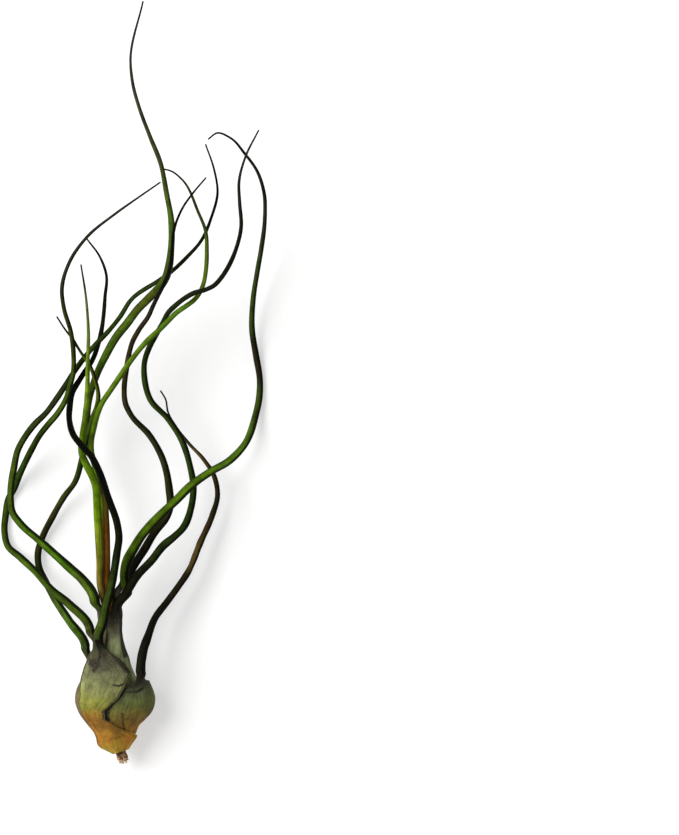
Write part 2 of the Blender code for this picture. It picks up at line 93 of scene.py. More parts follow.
# What makes the surfaces fine. A wave: its turns across, its turns along, how many are added up
grain = {
    "sheathStep": 0.32,  # spacing of rings on a sheath
    "bladeStep": 0.85,  # and along a blade
    "ribs": 0.05,  # height of the lengthwise ribs on a sheath
    "ribWaves": ((14, 46), (0, 1.5), 26),
    "lumps": 0.1,  # height of its soft unevenness
    "lumpWaves": ((0.6, 3), (2, 9), 12),
    "fray": 1.6,  # how far its edges waver inwards, in degrees
    "frayWaves": ((0, 1), (0.4, 3.0), 14),
    "foldWaves": ((1, 4), (0.2, 1), 6),
    "foldSlant": 0.04,  # how far folds climb round the bulb, in millimetres a degree
    "foldWander": 2.0,  # and how far they wander, in radians
    "markAndShadeWidth": 1.6,  # a crease's darkening, partly mark and partly painted shade, is this much wider than the crease
    "margin": 0.22,  # thickness of a sheath at its very edge
    "marginFade": 0.8,  # and over this distance it comes up to the full wall
    "groove": 0.5,  # depth of the channel at a blade's foot, as a share of its radius
    "grooveEnd": (0.02, 0.35),  # where along the blade it starts to close and is shallow
    "seam": 0.1,  # depth of the channel that runs on from there
    "seamEnd": (0.7, 0.95),
    "grooveWidth": 30.0,  # its half width, in degrees
    "uneven": 0.035,  # how much a blade's thickness wavers, as a share
    "unevenWaves": ((0, 1), (3, 22), 16),
    "facets": 0.025,  # height of its flat places, as a share of its radius
    "facetWaves": ((1, 4), (0, 3), 8),
    "footEnd": (0.0, 0.05),  # both start past the blade's foot
    "inside": 6.0,  # a distance from the margin that counts as well inside
    "paintedFlankShade": (0.05, 0.36),  # where the painted shade on a blade's flank starts and is full, 0 on top, 1 at the side
    "lean": (-0.42, -0.2, 1.0),  # the painted light on the blades falls from this way, and the flanks turned away from it get painted shade
    "under": (1.0, 1.7, 0.55),  # the painted shade eases again on their under side, which turns greener: from, to, by how much
    "tip": 0.95,  # how thin the tip ends, as a share of its solid's width
    "tipStart": 0.8,  # where along the blade that starts
}


# Cubic through values at knots: the Hermite curve with the values' own gradient as its slopes
def smooth(at, knots, values):
    knots, values = np.asarray(knots, float), np.asarray(values, float)
    slopes = np.gradient(values, knots, axis=0)
    at = np.clip(np.asarray(at, float), knots[0], knots[-1])
    low = np.clip(np.searchsorted(knots, at) - 1, 0, len(knots) - 2)
    span = knots[low + 1] - knots[low]
    part = (at - knots[low]) / span
    if values.ndim > 1:
        span, part = span[..., None], part[..., None]
    rise = part * part * (3 - 2 * part)
    bend = part * (1 - part) * span * ((1 - part) * slopes[low] - part * slopes[low + 1])
    return (1 - rise) * values[low] + rise * values[low + 1] + bend


def table(at, rows):  # the same curve, through rows that start with their place
    rows = np.asarray(rows, float)
    return smooth(at, rows[:, 0], rows[:, 1] if rows.shape[1] == 2 else rows[:, 1:])


def ease(value, start, end):  # 0 before start, 1 after end, 3x^2 - 2x^3 between
    part = np.clip((value - start) / (end - start), 0, 1)
    return part * part * (3 - 2 * part)


def unit(vectors):
    return vectors / np.linalg.norm(vectors, axis=-1, keepdims=True)


# Pixels and a height become millimetres: distance from the picture's middle, pulled in as it nears the camera
def fromPicture(route):
    route = np.asarray(route, float)
    flat = (route[:, :2] - photo["originPixel"]) * pixelSize
    pull = 1 - (route[:, 2:] - photo["level"]) / photo["height"]
    return np.hstack([pictureMiddle + (flat - pictureMiddle) * pull, route[:, 2:]])


# The bulb's axis at a height: point, direction, the direction nearest to up, and the side towards +X
def bulbAxis(height):
    height = np.atleast_1d(np.asarray(height, float))
    point = table(height, bulb["axis"])
    along = unit(table(height + 0.5, bulb["axis"]) - table(height - 0.5, bulb["axis"]))
    up = np.array([0.0, 0.0, 1.0])
    front = unit(up - along * (along @ up)[:, None])
    return point, along, front, np.cross(along, front)


# Radius of a layer: the bulb's, less one pitch for each outer layer that hasn't ended below
def layerRadius(layer, height):
    radius, pitch = table(height, bulb["radius"]), table(height, bulb["pitch"])
    before, after = bulb["settle"]
    for leaf in sheathedLeaves[:layer]:
        radius = radius - pitch * (1 - ease(height, leaf["throat"] + before, leaf["throat"] + after))
    return radius


# Sum of random waves over two numbers, each wave a sine of their weighted sum, about -1 to 1
def ripple(rng, across, along, acrossRange, alongRange, count):
    total = np.zeros(np.broadcast(across, along).shape)
    for _ in range(count):
        turnsAcross = rng.uniform(*acrossRange) * rng.choice([-1, 1])
        turnsAlong = rng.uniform(*alongRange)
        total += np.sin(2 * np.pi * (turnsAcross * across + turnsAlong * along + rng.random()))
    return total / math.sqrt(count)


# Distance of surface points from a drawn line, in millimetres, on the sheath unrolled flat
def lineDistance(height, degrees, radius, line):
    x, y = np.radians(degrees) * radius, height
    best = np.full(np.broadcast(x, y).shape, np.inf)
    for (startHeight, startTurn), (endHeight, endTurn) in zip(line[:-1], line[1:]):
        startX = np.radians(startTurn) * radius
        dx, dy = np.radians(endTurn) * radius - startX, endHeight - startHeight
        part = ((x - startX) * dx + (y - startHeight) * dy) / (dx * dx + dy * dy)
        part = np.clip(part, 0, 1)
        best = np.minimum(best, np.hypot(x - startX - part * dx, y - startHeight - part * dy))
    return best


# Even points along a route, with the direction there: the cubic through the points, read by chord length
def walk(points, first):
    knots = np.concatenate([[0], np.cumsum(np.linalg.norm(np.diff(points, axis=0), axis=1))])
    count = int(knots[-1] / grain["bladeStep"])
    path = smooth(np.linspace(knots[first], knots[-1], count), knots, points)
    return path, unit(np.gradient(path, axis=0))


# The back's direction at each station: the last one with its part along the path taken away
def carry(along, back):
    backs = []
    for direction in along:
        back = back - direction * np.dot(back, direction)
        back = back / np.linalg.norm(back)
        backs.append(back)
    return np.array(backs)


# Closed skin over a grid of rings: quads between rings, a strip over the foot, a fan at the tip
def skinFaces(rings, around, closedFoot=False):
    row, col = np.meshgrid(np.arange(rings - 1), np.arange(around), indexing="ij")
    after = (col + 1) % around
    quads = np.stack([row * around + col, row * around + after,
                      (row + 1) * around + after, (row + 1) * around + col], axis=-1).reshape(-1, 4)
    tip = rings * around
    last = (rings - 1) * around
    turn = np.arange(around)
    fan = np.stack([last + turn, last + (turn + 1) % around, np.full(around, tip)], axis=-1)
    if closedFoot:
        foot = np.stack([(turn + 1) % around, turn, np.full(around, tip + 1)], axis=-1)
        return quads, np.vstack([fan, foot])
    step = np.arange(around // 2 - 1)
    strip = np.stack([step + 1, step, around - 1 - step, around - 2 - step], axis=-1)
    return np.vstack([quads, strip]), fan


# Where a point is for the lengthwise streaks: on a circle round the leaf, and a little further on along it
def strandPlace(turn, size, along):
    return np.stack(np.broadcast_arrays(size * np.cos(turn), size * np.sin(turn), along[:, None]), axis=-1)


def addObject(name, data):
    made = bpy.data.objects.new(name, data)
    bpy.context.scene.collection.objects.link(made)
    return made


# A mesh from millimetre points and faces, with its surface values stored as attributes
def makePiece(name, points, quads, triangles, values, skin, node):
    points = np.clip(points * millimetre, cadLow, cadHigh)
    mesh = bpy.data.meshes.new(name)
    mesh.from_pydata(points.tolist(), [], quads.tolist() + triangles.tolist())
    for key, data in values.items():
        kind, field = ("FLOAT", "value") if data.ndim == 1 else ("FLOAT_VECTOR", "vector")
        stored = mesh.attributes.new(key, kind, "POINT")
        stored.data.foreach_set(field, data.astype(np.float32).ravel())
    mesh.update()
    mesh.shade_smooth()
    mesh.materials.append(skin)
    piece = addObject(name, mesh)
    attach(piece, "root")
    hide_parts(node)


def colour(red, green, blue):  # screen colour, 0 to 255, to light
    value = np.array([red, green, blue]) / 255
    return (*np.where(value <= 0.04045, value / 12.92, ((value + 0.055) / 1.055) ** 2.4), 1.0)


# Small helpers that add a node and wire its inputs, given as sockets or plain values
class Nodes:
    def __init__(self, name):
        self.skin = bpy.data.materials.new(name)
        self.skin.use_nodes = True
        self.tree = self.skin.node_tree
        self.shader = self.tree.nodes["Principled BSDF"]

    def feed(self, socket, value):
        if isinstance(value, bpy.types.NodeSocket):
            self.tree.links.new(value, socket)
        else:
            socket.default_value = value

    def add(self, kind):
        return self.tree.nodes.new("ShaderNode" + kind)

    def attribute(self, name, output="Fac"):
        node = self.add("Attribute")
        node.attribute_name = name
        return node.outputs[output]

    def spot(self):
        return self.add("TexCoord").outputs["Object"]

    def noise(self, vector, look):
        node = self.add("TexNoise")
        for key, given in zip(("Vector", "Scale", "Detail", "Roughness", "Distortion"), (vector, *look)):
            self.feed(node.inputs[key], given)
        return node.outputs["Fac"]

    def spread(self, value, look, soft=False):
        node = self.add("MapRange")
        node.interpolation_type = "SMOOTHSTEP" if soft else "LINEAR"
        for socket, given in zip(node.inputs, (value, *look)):
            self.feed(socket, given)
        return node.outputs["Result"]

    def maths(self, kind, one, two):
        node = self.add("Math")
        node.operation = kind
        self.feed(node.inputs[0], one)
        self.feed(node.inputs[1], two)
        return node.outputs[0]

    def plus(self, one, two):
        return self.maths("ADD", one, two)

    def times(self, one, two):
        return self.maths("MULTIPLY", one, two)

    def mix(self, factor, one, two, kind="MIX"):
        node = self.add("Mix")
        node.data_type = "RGBA"
        node.blend_type = kind
        for index, given in ((0, factor), (6, one), (7, two)):
            self.feed(node.inputs[index], given)
        return node.outputs[2]

    def tinge(self, tint, share, screen):  # a share of a screen colour over a colour
        return self.mix(share, tint, colour(*screen))

    def shade(self, tint, value, share=1.0):  # a colour times a grey
        node = self.add("CombineColor")
        for socket in node.inputs:
            self.feed(socket, value)
        return self.mix(share, tint, node.outputs[0], "MULTIPLY")

    def ramp(self, value, rows):
        node = self.add("ValToRGB")
        self.feed(node.inputs[0], value)
        elements = node.color_ramp.elements
        while len(elements) > 1:
            elements.remove(elements[-1])
        elements[0].position, elements[0].color = rows[0][0], colour(*rows[0][1:])
        for at, *screen in rows[1:]:
            elements.new(at).color = colour(*screen)
        return node.outputs[0]

    def bump(self, height, distance):
        node = self.add("Bump")
        node.inputs["Distance"].default_value = distance
        self.feed(node.inputs["Height"], height)
        return node


# What leaf surfaces share where a leaf says nothing else. A noise: scale, detail, roughness, distortion.
# A range: from, to, and what these two become. Reach: 0 at a sheath's foot, 0.5 at its throat, 1 at the tip
leafFinish = {
    "waver": (110.0, 4, 0.55, 0.0),  # bands of colour across the leaf wander with this
    "waverBy": (0.3, 0.7, -0.024, 0.024),
    "mottle": (260.0, 6, 0.6, 0.4),  # soft patches, about 4 mm
    "mottleShade": (0.33, 0.67, 0.6, 1.38),
    "speck": (2400.0, 3, 0.7, 0.0),  # fine grey scales, under a millimetre
    "speckShade": (0.3, 0.45, 0.78, 1.0),
    "streak": (1.5, 5, 0.62, 0.0),  # lengthwise streaks
    "streakShade": (0.33, 0.67, 0.5, 1.42),
    "line": (0.28, 2, 0.55, 0.0),  # a few broad lines along a blade
    "lineShade": (0.3, 0.7, 0.72, 1.3),
    "bladeReach": (0.44, 0.52, 0.4, 1.0),  # streaks and brown lines are weaker on the sheath
    "stain": (0.6, 5, 0.62, 0.7),  # orange streaks low on the bulb
    "stainShare": (0.46, 0.62, 0.0, 0.75),
    "stainReach": (0.05, 0.19, 1.0, 0.0),
    "stainTint": (182, 96, 24),
    "brown": (0.5, 3, 0.6, 0.0),  # brown lines along a blade
    "brownShare": (0.52, 0.68, 0.0, 0.6),
    "brownTint": (44, 28, 14),
    "paintedFlankShade": 0.92,  # how dark the painted shade on a blade's flanks is; it also gives the blades dark margins
    "paintedFlankShadeTint": (10, 14, 5),
    "fray": (0.3, 0.7, -0.4, 0.4),  # streaks move a margin's colour by this
    "marginStart": 0.3,  # from the edge inwards, where its dark band is strongest: the margin's own red-brown, widened to also paint the shade along the overlapping edge
    "marginReach": 1.8,  # and gone
    "marginDark": 0.6,
    "marginFoot": (0.13, 0.19, 0.12, 1.0),  # it is weaker near the sheath's foot
    "marginTint": (30, 13, 12),
    "skinEdge": (-0.1, 0.3),  # the pale skin at the very edge: full, gone
    "marginPale": 0.5,
    "skinTint": (178, 168, 112),
    # darkening along creases and patches: partly marks, partly painted shade in their grooves and painted
    # shadow lines
    "markAndShadeFray": (0.3, 0.7, -0.22, 0.22),
    "markAndShadeShare": (0.25, 0.8, 0.0, 0.95),
    "markAndShadeTint": (26, 15, 14),
    "sheathBloom": 0.35,  # how silvery a sheath is
    "bloomShare": (0.4, 0.75, 0.1, 0.9),
    "bloomTint": (150, 152, 126),
    "roughness": (0.3, 1.1, 0.45, 0.68),
    "gloss": 0.02,
    "ribBump": 0.00035,
    "speckBump": 0.00012,
}


# A leaf's surface: a ramp of colours along it, under stains, patches, streaks, painted shade on its flanks,
# margins, darkening that is partly painted shade, and bloom
def leafSkin(name, leaf):
    look = {**leafFinish, **leaf}
    n = Nodes(name + "_skin")
    spot, strand = n.spot(), n.attribute("strand", "Vector")
    mottle, speck = n.noise(spot, look["mottle"]), n.noise(spot, look["speck"])
    streak = n.noise(strand, look["streak"])
    reach = n.plus(n.attribute("reach"), n.spread(n.noise(spot, look["waver"]), look["waverBy"]))
    rows = [(0.5 * height / leaf["throat"], *tint) for height, *tint in leaf.get("sheathTints", ())]
    rows += [(0.5 + 0.5 * share, *tint) for share, *tint in leaf["bladeTints"]]
    tint = n.ramp(reach, rows)

    stain = n.spread(n.noise(strand, look["stain"]), look["stainShare"], True)
    stain = n.times(n.spread(reach, look["stainReach"], True), stain)
    tint = n.tinge(tint, stain, look["stainTint"])
    tint = n.shade(tint, n.spread(mottle, look["mottleShade"]))
    blade = n.spread(reach, look["bladeReach"])
    tint = n.shade(tint, n.spread(streak, look["streakShade"]), blade)
    tint = n.shade(tint, n.spread(n.noise(strand, look["line"]), look["lineShade"]))
    brown = n.spread(n.noise(strand, look["brown"]), look["brownShare"], True)
    tint = n.tinge(tint, n.times(brown, blade), look["brownTint"])
    # painted shade on the flanks turned away from the painted light, which also stands for the blades' dark
    # margins
    tint = n.tinge(tint, n.times(n.attribute("paintedFlankShade"), look["paintedFlankShade"]), look["paintedFlankShadeTint"])

    edge = n.plus(n.attribute("rim"), n.spread(streak, look["fray"]))
    # the dark margin band: the margin's own red-brown, together with painted shade along the overlapping edge
    dark = n.spread(edge, (look["marginStart"], look["marginReach"], look["marginDark"], 0.0), True)
    dark = n.times(dark, n.spread(reach, look["marginFoot"], True))
    tint = n.tinge(tint, dark, look["marginTint"])
    pale = n.spread(edge, (*look["skinEdge"], look["marginPale"], 0.0), True)
    tint = n.tinge(tint, pale, look["skinTint"])
    # darken along creases and patches: partly marks, partly painted shade and painted shadow lines
    markAndShade = n.plus(n.attribute("markAndShade"), n.spread(mottle, look["markAndShadeFray"]))
    tint = n.tinge(tint, n.spread(markAndShade, look["markAndShadeShare"], True), look["markAndShadeTint"])
    tint = n.shade(tint, n.spread(speck, look["speckShade"]))
    bloom = n.times(n.spread(speck, look["bloomShare"], True), n.attribute("bloom"))
    tint = n.tinge(tint, bloom, look["bloomTint"])

    n.feed(n.shader.inputs["Base Color"], tint)
    n.feed(n.shader.inputs["Roughness"], n.spread(n.plus(mottle, bloom), look["roughness"]))
    n.shader.inputs["Specular IOR Level"].default_value = look["gloss"]
    ribs, specks = n.bump(streak, look["ribBump"]), n.bump(speck, look["speckBump"])
    n.feed(specks.inputs["Normal"], ribs.outputs[0])
    n.feed(n.shader.inputs["Normal"], specks.outputs[0])
    return n.skin


def bladeAngles(across):  # round a blade, in degrees from its back, the sheath's outer side first
    half = (np.arange(across) + 0.5) * 180 / across
    return np.concatenate([half - 90, half + 90])


# Outward directions round a tube: cos a back + sin a side
def outwards(along, back, angles):
    turn = np.radians(angles)[:, None]
    return np.cos(turn) * back[:, None] + np.sin(turn) * np.cross(along, back)[:, None]


# Rings of a blade: centre + radius outwards, with the channel taken out where the angle nears 180
def bladeRings(centre, along, back, radius, angles, groove):
    away = 180 - np.abs((angles + 180) % 360 - 180)
    dent = groove[:, None] * np.exp(-(away / grain["grooveWidth"]) ** 2)
    rings = centre[:, None] + (radius[:, None] * (1 - dent))[..., None] * outwards(along, back, angles)
    rings[..., 2] = np.maximum(rings[..., 2], 0)
    return rings


# Painted shade round a blade: how far each point is turned from the side facing the painted light, 1 less the
# cosine of the angle between, then eased; it also gives the blades dark margins
def paintedFlankShadeShare(along, back, angles):
    paintedLightSide = np.array(grain["lean"])
    paintedLightSide = unit(paintedLightSide - along * (along @ paintedLightSide)[:, None])
    turned = 1 - np.einsum("ijk,ik->ij", outwards(along, back, angles), paintedLightSide)
    low, high, share = grain["under"]
    return ease(turned, *grain["paintedFlankShade"]) * (1 - share * ease(turned, low, high))


# A sheath's edges by height, in degrees left and right: its wrap, narrowed to a strip, less its fraying
def sheathEdges(rng, leaf, height, radius, close):
    wrap = table(height, leaf["wrap"])
    edges = wrap + (np.degrees(bulb["strip"] / radius)[:, None] - wrap) * close
    for side in (0, 1):
        fray = ripple(rng, 0.0, height / 10, *grain["frayWaves"]) * (1 - close[:, 0])
        edges[:, side] -= np.maximum(fray, 0) * grain["fray"]
    return edges[:, :1], edges[:, 1:]


# Relief and darkening of a sheath: ribs and lumps as waves, creases and patches as bell curves of the
# distance. The darkening is partly marks and partly painted shade in grooves, and some lines with no depth
# are painted shadow
def sheathRelief(rng, leaf, share, height, degrees, radius):
    relief = grain["ribs"] * ripple(rng, share, height / 100, *grain["ribWaves"])
    relief += grain["lumps"] * ripple(rng, share, height / 100, *grain["lumpWaves"])
    markAndShade = np.zeros_like(relief)
    for crease in leaf.get("creases", ()):
        away = lineDistance(height, degrees, radius, crease["line"]) / crease["width"]
        relief -= crease["depth"] * np.exp(-away ** 2)
        markAndShade = np.maximum(markAndShade, crease["dark"] * np.exp(-(away / grain["markAndShadeWidth"]) ** 2))
    for patch in leaf.get("patches", ()):
        away = np.hypot((height - patch["at"][0]) / patch["size"][0],
                        np.radians(degrees - patch["at"][1]) * radius / patch["size"][1])
        mask = np.exp(-away ** 2)
        wander = grain["foldWander"] * ripple(rng, share, height / 10, *grain["foldWaves"])
        climb = 2 * np.pi * (height + grain["foldSlant"] * degrees) / patch.get("pitch", 1)
        relief += mask * (patch.get("lift", 0) + patch.get("wrinkle", 0) * np.sin(climb + wander))
        markAndShade = np.maximum(markAndShade, patch.get("dark", 0) * mask)
    return relief, markAndShade


# A sheath's rings: axis + distance (cos a front + widening sin a side), its outside, then back inside
def sheathRings(layer, height, degrees, outer, inner):
    point, _, front, side = bulbAxis(height)
    angle = np.radians(np.hstack([degrees, degrees[:, ::-1]]))
    distance = np.hstack([outer, inner[:, ::-1]])
    widen = table(height, bulb["widen"])[:, None]
    rings = (point[:, None] + (distance * np.cos(angle))[..., None] * front[:, None]
             + (distance * widen * np.sin(angle))[..., None] * side[:, None])
    stand = max(layer - bulb["floorLayer"], 0) * table(height, bulb["pitch"])[:, None]
    stand = stand + np.repeat([0.0, bulb["wall"]], degrees.shape[1])
    rings[..., 2] = np.maximum(rings[..., 2], stand)
    return rings


# Radius, channel and surface values of a blade: width by share of length, uneven by slow waves
def bladeSurface(rng, leaf, path, forward, backs, angles):
    share = np.linspace(0, 1, len(path))
    past = ease(share, *grain["footEnd"])
    radius = table(share, leaf["width"]) / 2 * (1 - (1 - grain["tip"]) * ease(share, grain["tipStart"], 1))
    uneven = ripple(rng, 0.0, share, *grain["unevenWaves"])
    facets = ripple(rng, angles[None] / 360, share[:, None], *grain["facetWaves"])
    radius = radius * (1 + grain["uneven"] * uneven * past)
    groove = grain["groove"] * (1 - ease(share, *grain["grooveEnd"]))
    groove = np.maximum(groove, grain["seam"] * (1 - ease(share, *grain["seamEnd"])))
    rings = bladeRings(path, forward, backs, radius, angles, groove)
    lift = grain["facets"] * facets * (radius * past)[:, None]
    rings += lift[..., None] * unit(rings - path[:, None])
    ones = np.ones(rings.shape[:2])
    values = {
        "reach": ones * (0.5 + 0.5 * share[:, None]),
        "rim": ones * grain["inside"],
        # painted shade on the flanks turned away from the painted light
        "paintedFlankShade": paintedFlankShadeShare(forward, backs, angles),
        "markAndShade": ones * 0,
        "bloom": ones * 0,
    }
    return rings, values, share * len(path) * grain["bladeStep"]


# The surface of a leaf with a sheath: sheath, roll-up and blade on one grid of rings
def sheathedLeaf(name, leaf, layer):
    rng = np.random.default_rng(leaf["seed"])
    across, throat, lift = leaf["across"], leaf["throat"], bulb["lift"]
    tries = np.linspace(*bulb["footHeights"])
    start = tries[np.argmax(layerRadius(layer, tries) >= bulb["footRadius"])]
    height = np.linspace(start, throat, int((throat - start) / grain["sheathStep"]))
    radius = layerRadius(layer, height)
    close = ease(height, throat - lift, throat - bulb["narrowed"] * lift)[:, None]
    rolled = ease(height, throat - bulb["rollStart"] * lift, throat)[:, None]

    left, right = sheathEdges(rng, leaf, height, radius, close)
    share = np.linspace(0, 1, across)
    degrees = leaf["turn"] - left + share * (left + right)
    rim = np.minimum(share, 1 - share) * np.radians(left + right) * radius[:, None]
    relief, markAndShade = sheathRelief(rng, leaf, share, height[:, None], degrees, radius[:, None])
    wall = bulb["wall"] - (bulb["wall"] - grain["margin"]) * np.exp(-rim / grain["marginFade"]) * (1 - close)
    outer = radius[:, None] + relief * (1 - close)
    strip = sheathRings(layer, height, degrees, outer, radius[:, None] - wall)

    point, along, front, side = bulbAxis(height)
    angles = bladeAngles(across)
    turn = math.radians(leaf["turn"])
    lean = front * math.cos(turn) + side * math.sin(turn) * table(height, bulb["widen"])[:, None]
    back = unit(lean)
    tubeRadius = np.full(len(height), leaf["width"][0][1] / 2)
    centre = point + lean * (radius + bulb["clearance"] + tubeRadius)[:, None]
    tube = bladeRings(centre, along, back, tubeRadius, angles, np.full(len(height), grain["groove"]))
    sheath = strip * (1 - rolled[..., None]) + tube * rolled[..., None]

    lead = centre[-1:] - along[-1:] * bulb["lead"]
    path, forward = walk(np.vstack([lead, centre[-1:], fromPicture(leaf["route"])]), 1)
    body, bodyValues, run = bladeSurface(rng, leaf, path, forward, carry(forward, back[-1]), angles)

    ones = np.ones((len(height), 2 * across))
    silver = {**leafFinish, **leaf}["sheathBloom"]
    values = {
        "reach": ones * 0.5 * height[:, None] / throat,
        "rim": np.hstack([rim, rim[:, ::-1]]) * (1 - rolled) + grain["inside"] * rolled,
        # painted shade on the rolled tube's flanks turned away from the painted light
        "paintedFlankShade": paintedFlankShadeShare(along, back, angles) * rolled,
        "markAndShade": np.hstack([markAndShade, markAndShade * 0]),
        "bloom": ones * silver * (1 - rolled),
    }
    values = {key: np.vstack([values[key], bodyValues[key][1:]]) for key in values}
    rings = np.concatenate([sheath, body[1:]])
    finishLeaf(name, leaf, rings, angles, np.concatenate([height, throat + run[1:]]), values, False)


# A young leaf: a rolled blade from foot to tip
def youngLeaf(name, leaf):
    rng = np.random.default_rng(leaf["seed"])
    path, forward = walk(fromPicture(leaf["route"]), 0)
    angles = bladeAngles(leaf["across"])
    backs = carry(forward, np.array([0.0, 0.0, 1.0]))
    rings, values, run = bladeSurface(rng, leaf, path, forward, backs, angles)
    finishLeaf(name, leaf, rings, angles, run, values, True)


# Add the rounded tip and the place of each point for the streaks, close the ends and make the piece
def finishLeaf(name, leaf, rings, angles, lengthwise, values, closedFoot):
    centre = rings[-1].mean(axis=0)
    ahead = unit(centre - rings[-3].mean(axis=0))
    size = np.linalg.norm(rings[-1] - centre, axis=1).mean()
    cap = np.radians([30, 60])[:, None, None]
    rings = np.concatenate([rings, centre + (rings[-1] - centre) * np.cos(cap) + ahead * np.sin(cap) * size])
    lengthwise = np.concatenate([lengthwise, [lengthwise[-1]] * 2])
    values = {key: np.vstack([data, data[-1:], data[-1:]]) for key, data in values.items()}
    strand = strandPlace(np.radians(angles), 10, 0.05 * lengthwise)
    ends = [centre + ahead * size] + ([rings[0].mean(axis=0)] if closedFoot else [])
    poles = [-1, 0][:len(ends)]
    values = {key: np.concatenate([data.ravel(), [data[pole].mean() for pole in poles]])
              for key, data in values.items()}
    values["strand"] = np.vstack([strand.reshape(-1, 3)] + [strand[pole].mean(axis=0) for pole in poles])
    quads, fan = skinFaces(len(rings), rings.shape[1], closedFoot)
    points = np.vstack([rings.reshape(-1, 3)] + ends)
    makePiece(name + "_blade", points, quads, fan, values, leafSkin(name, leaf), name)


# In each leaf, turn and wrap are degrees round the bulb, 0 at the front and more to the right. Rows of wrap:
# height, left, right. Of width: share of the blade, thickness. Of route: pixel across, pixel down, height.
# Of tints: height on the sheath or share of the blade, screen colour. Creases and patches: height, degrees
# A crease's or patch's dark darkens the sheath there: partly marks, partly painted shade, and some lines are
# only painted shadow.
# Flank: how strong the painted shade on a blade's flanks is; it also gives the blade dark margins.

# The outermost sheath, at the bulb's front left, and its near-black blade
leafFront = {
    "turn": -30, "throat": 44, "seed": 11, "across": 56, "slot": "leaf_old",
    "wrap": [
        (2, 85, 112), (5, 50, 98), (7.5, 24, 70), (10, 15, 42), (12, 14, 29), (14, 14, 22), (16.5, 15, 20),
        (19, 17, 22), (22, 19, 31), (25, 23, 41), (29, 31, 52), (33, 36, 64), (37.5, 32, 45), (41, 28, 26)],
    "width": [(0, 3.8), (0.06, 3.3), (0.12, 3.0), (0.4, 2.4), (0.62, 2.0), (0.85, 1.3), (1, 0.6)],
    "route": [
        (103, 621, 28.6), (106, 606, 29.3), (112, 583, 31), (117, 553, 33), (119, 538, 34), (117, 523, 35),
        (109, 500, 36), (98, 469, 37), (91, 456, 37), (81, 445, 36.5), (73, 434, 35.5), (69.5, 421, 34),
        (70, 405, 32), (73, 391, 30), (79, 381, 28), (84, 373, 26.5), (92, 361, 25), (98, 345, 24),
        (101, 333, 24), (104, 311, 25), (105, 297, 26.5), (106.5, 276, 29), (100, 257, 31), (87, 239, 33)],
    "sheathTints": [
        (0, 198, 178, 62), (3, 178, 148, 38), (6, 154, 108, 24), (9, 158, 116, 28), (12, 138, 94, 22),
        (15, 146, 102, 26), (17, 136, 112, 34), (19, 124, 120, 40), (22, 118, 120, 50), (26, 120, 122, 72),
        (30, 114, 118, 74), (32.5, 100, 100, 68), (35, 74, 74, 52), (38, 62, 60, 44), (41, 58, 70, 34),
        (44, 58, 78, 30)],
    "bladeTints": [
        (0, 66, 84, 26), (0.06, 60, 78, 20), (0.12, 48, 70, 19), (0.2, 26, 36, 12), (0.28, 10, 14, 5),
        (0.65, 4, 5, 3), (0.72, 16, 34, 8), (0.8, 30, 34, 16), (1, 12, 10, 8)],
    "creases": [
        {"line": [(28.6, 2), (28.1, 10), (28.7, 19)], "depth": 0.32, "width": 0.28, "dark": 0.85},
        {"line": [(30.6, 6), (29.2, 13)], "depth": 0.15, "width": 0.25, "dark": 0.4},
        {"line": [(20, -40), (12, -34), (6, -30)], "depth": 0.14, "width": 0.9, "dark": 0.08},
        {"line": [(31, -50), (24, -56), (16, -50)], "depth": 0.12, "width": 0.7, "dark": 0.15},
        {"line": [(44, -24), (39, -26), (36, -30), (33, -36)], "depth": 0.2, "width": 0.7, "dark": 0.95},
        # painted shadow along the edge under the blade's foot, together with the margin's own dark colour
        {"line": [(42.5, -9), (41, -6), (37.5, 12), (35, 23), (33, 32)],
         "depth": 0.0, "width": 0.85, "dark": 1.0},
        {"line": [(37, -46), (34, -48), (30, -46)], "depth": 0.15, "width": 0.4, "dark": 0.5}],
    "patches": [
        {"at": (35.2, -40), "size": (1.7, 3.6), "wrinkle": 0.34, "pitch": 1.1, "dark": 1.0},
        {"at": (36.5, 0), "size": (2.6, 2.6), "dark": 0.4},
        {"at": (33, 24), "size": (2.2, 2.0), "dark": 0.45},
        {"at": (38, -18), "size": (3.0, 1.6), "dark": 0.7},
        {"at": (5.4, 64), "size": (2.2, 3.0), "lift": 0.8},
        {"at": (5.0, -20), "size": (2.2, 3.4), "lift": 0.25},
        {"at": (13.5, -34), "size": (3.0, 2.0), "lift": -0.2}],
    "marginPale": 0.5, "marginDark": 0.95, "marginReach": 0.9, "sheathBloom": 0.28, "paintedFlankShade": 0.97,
}

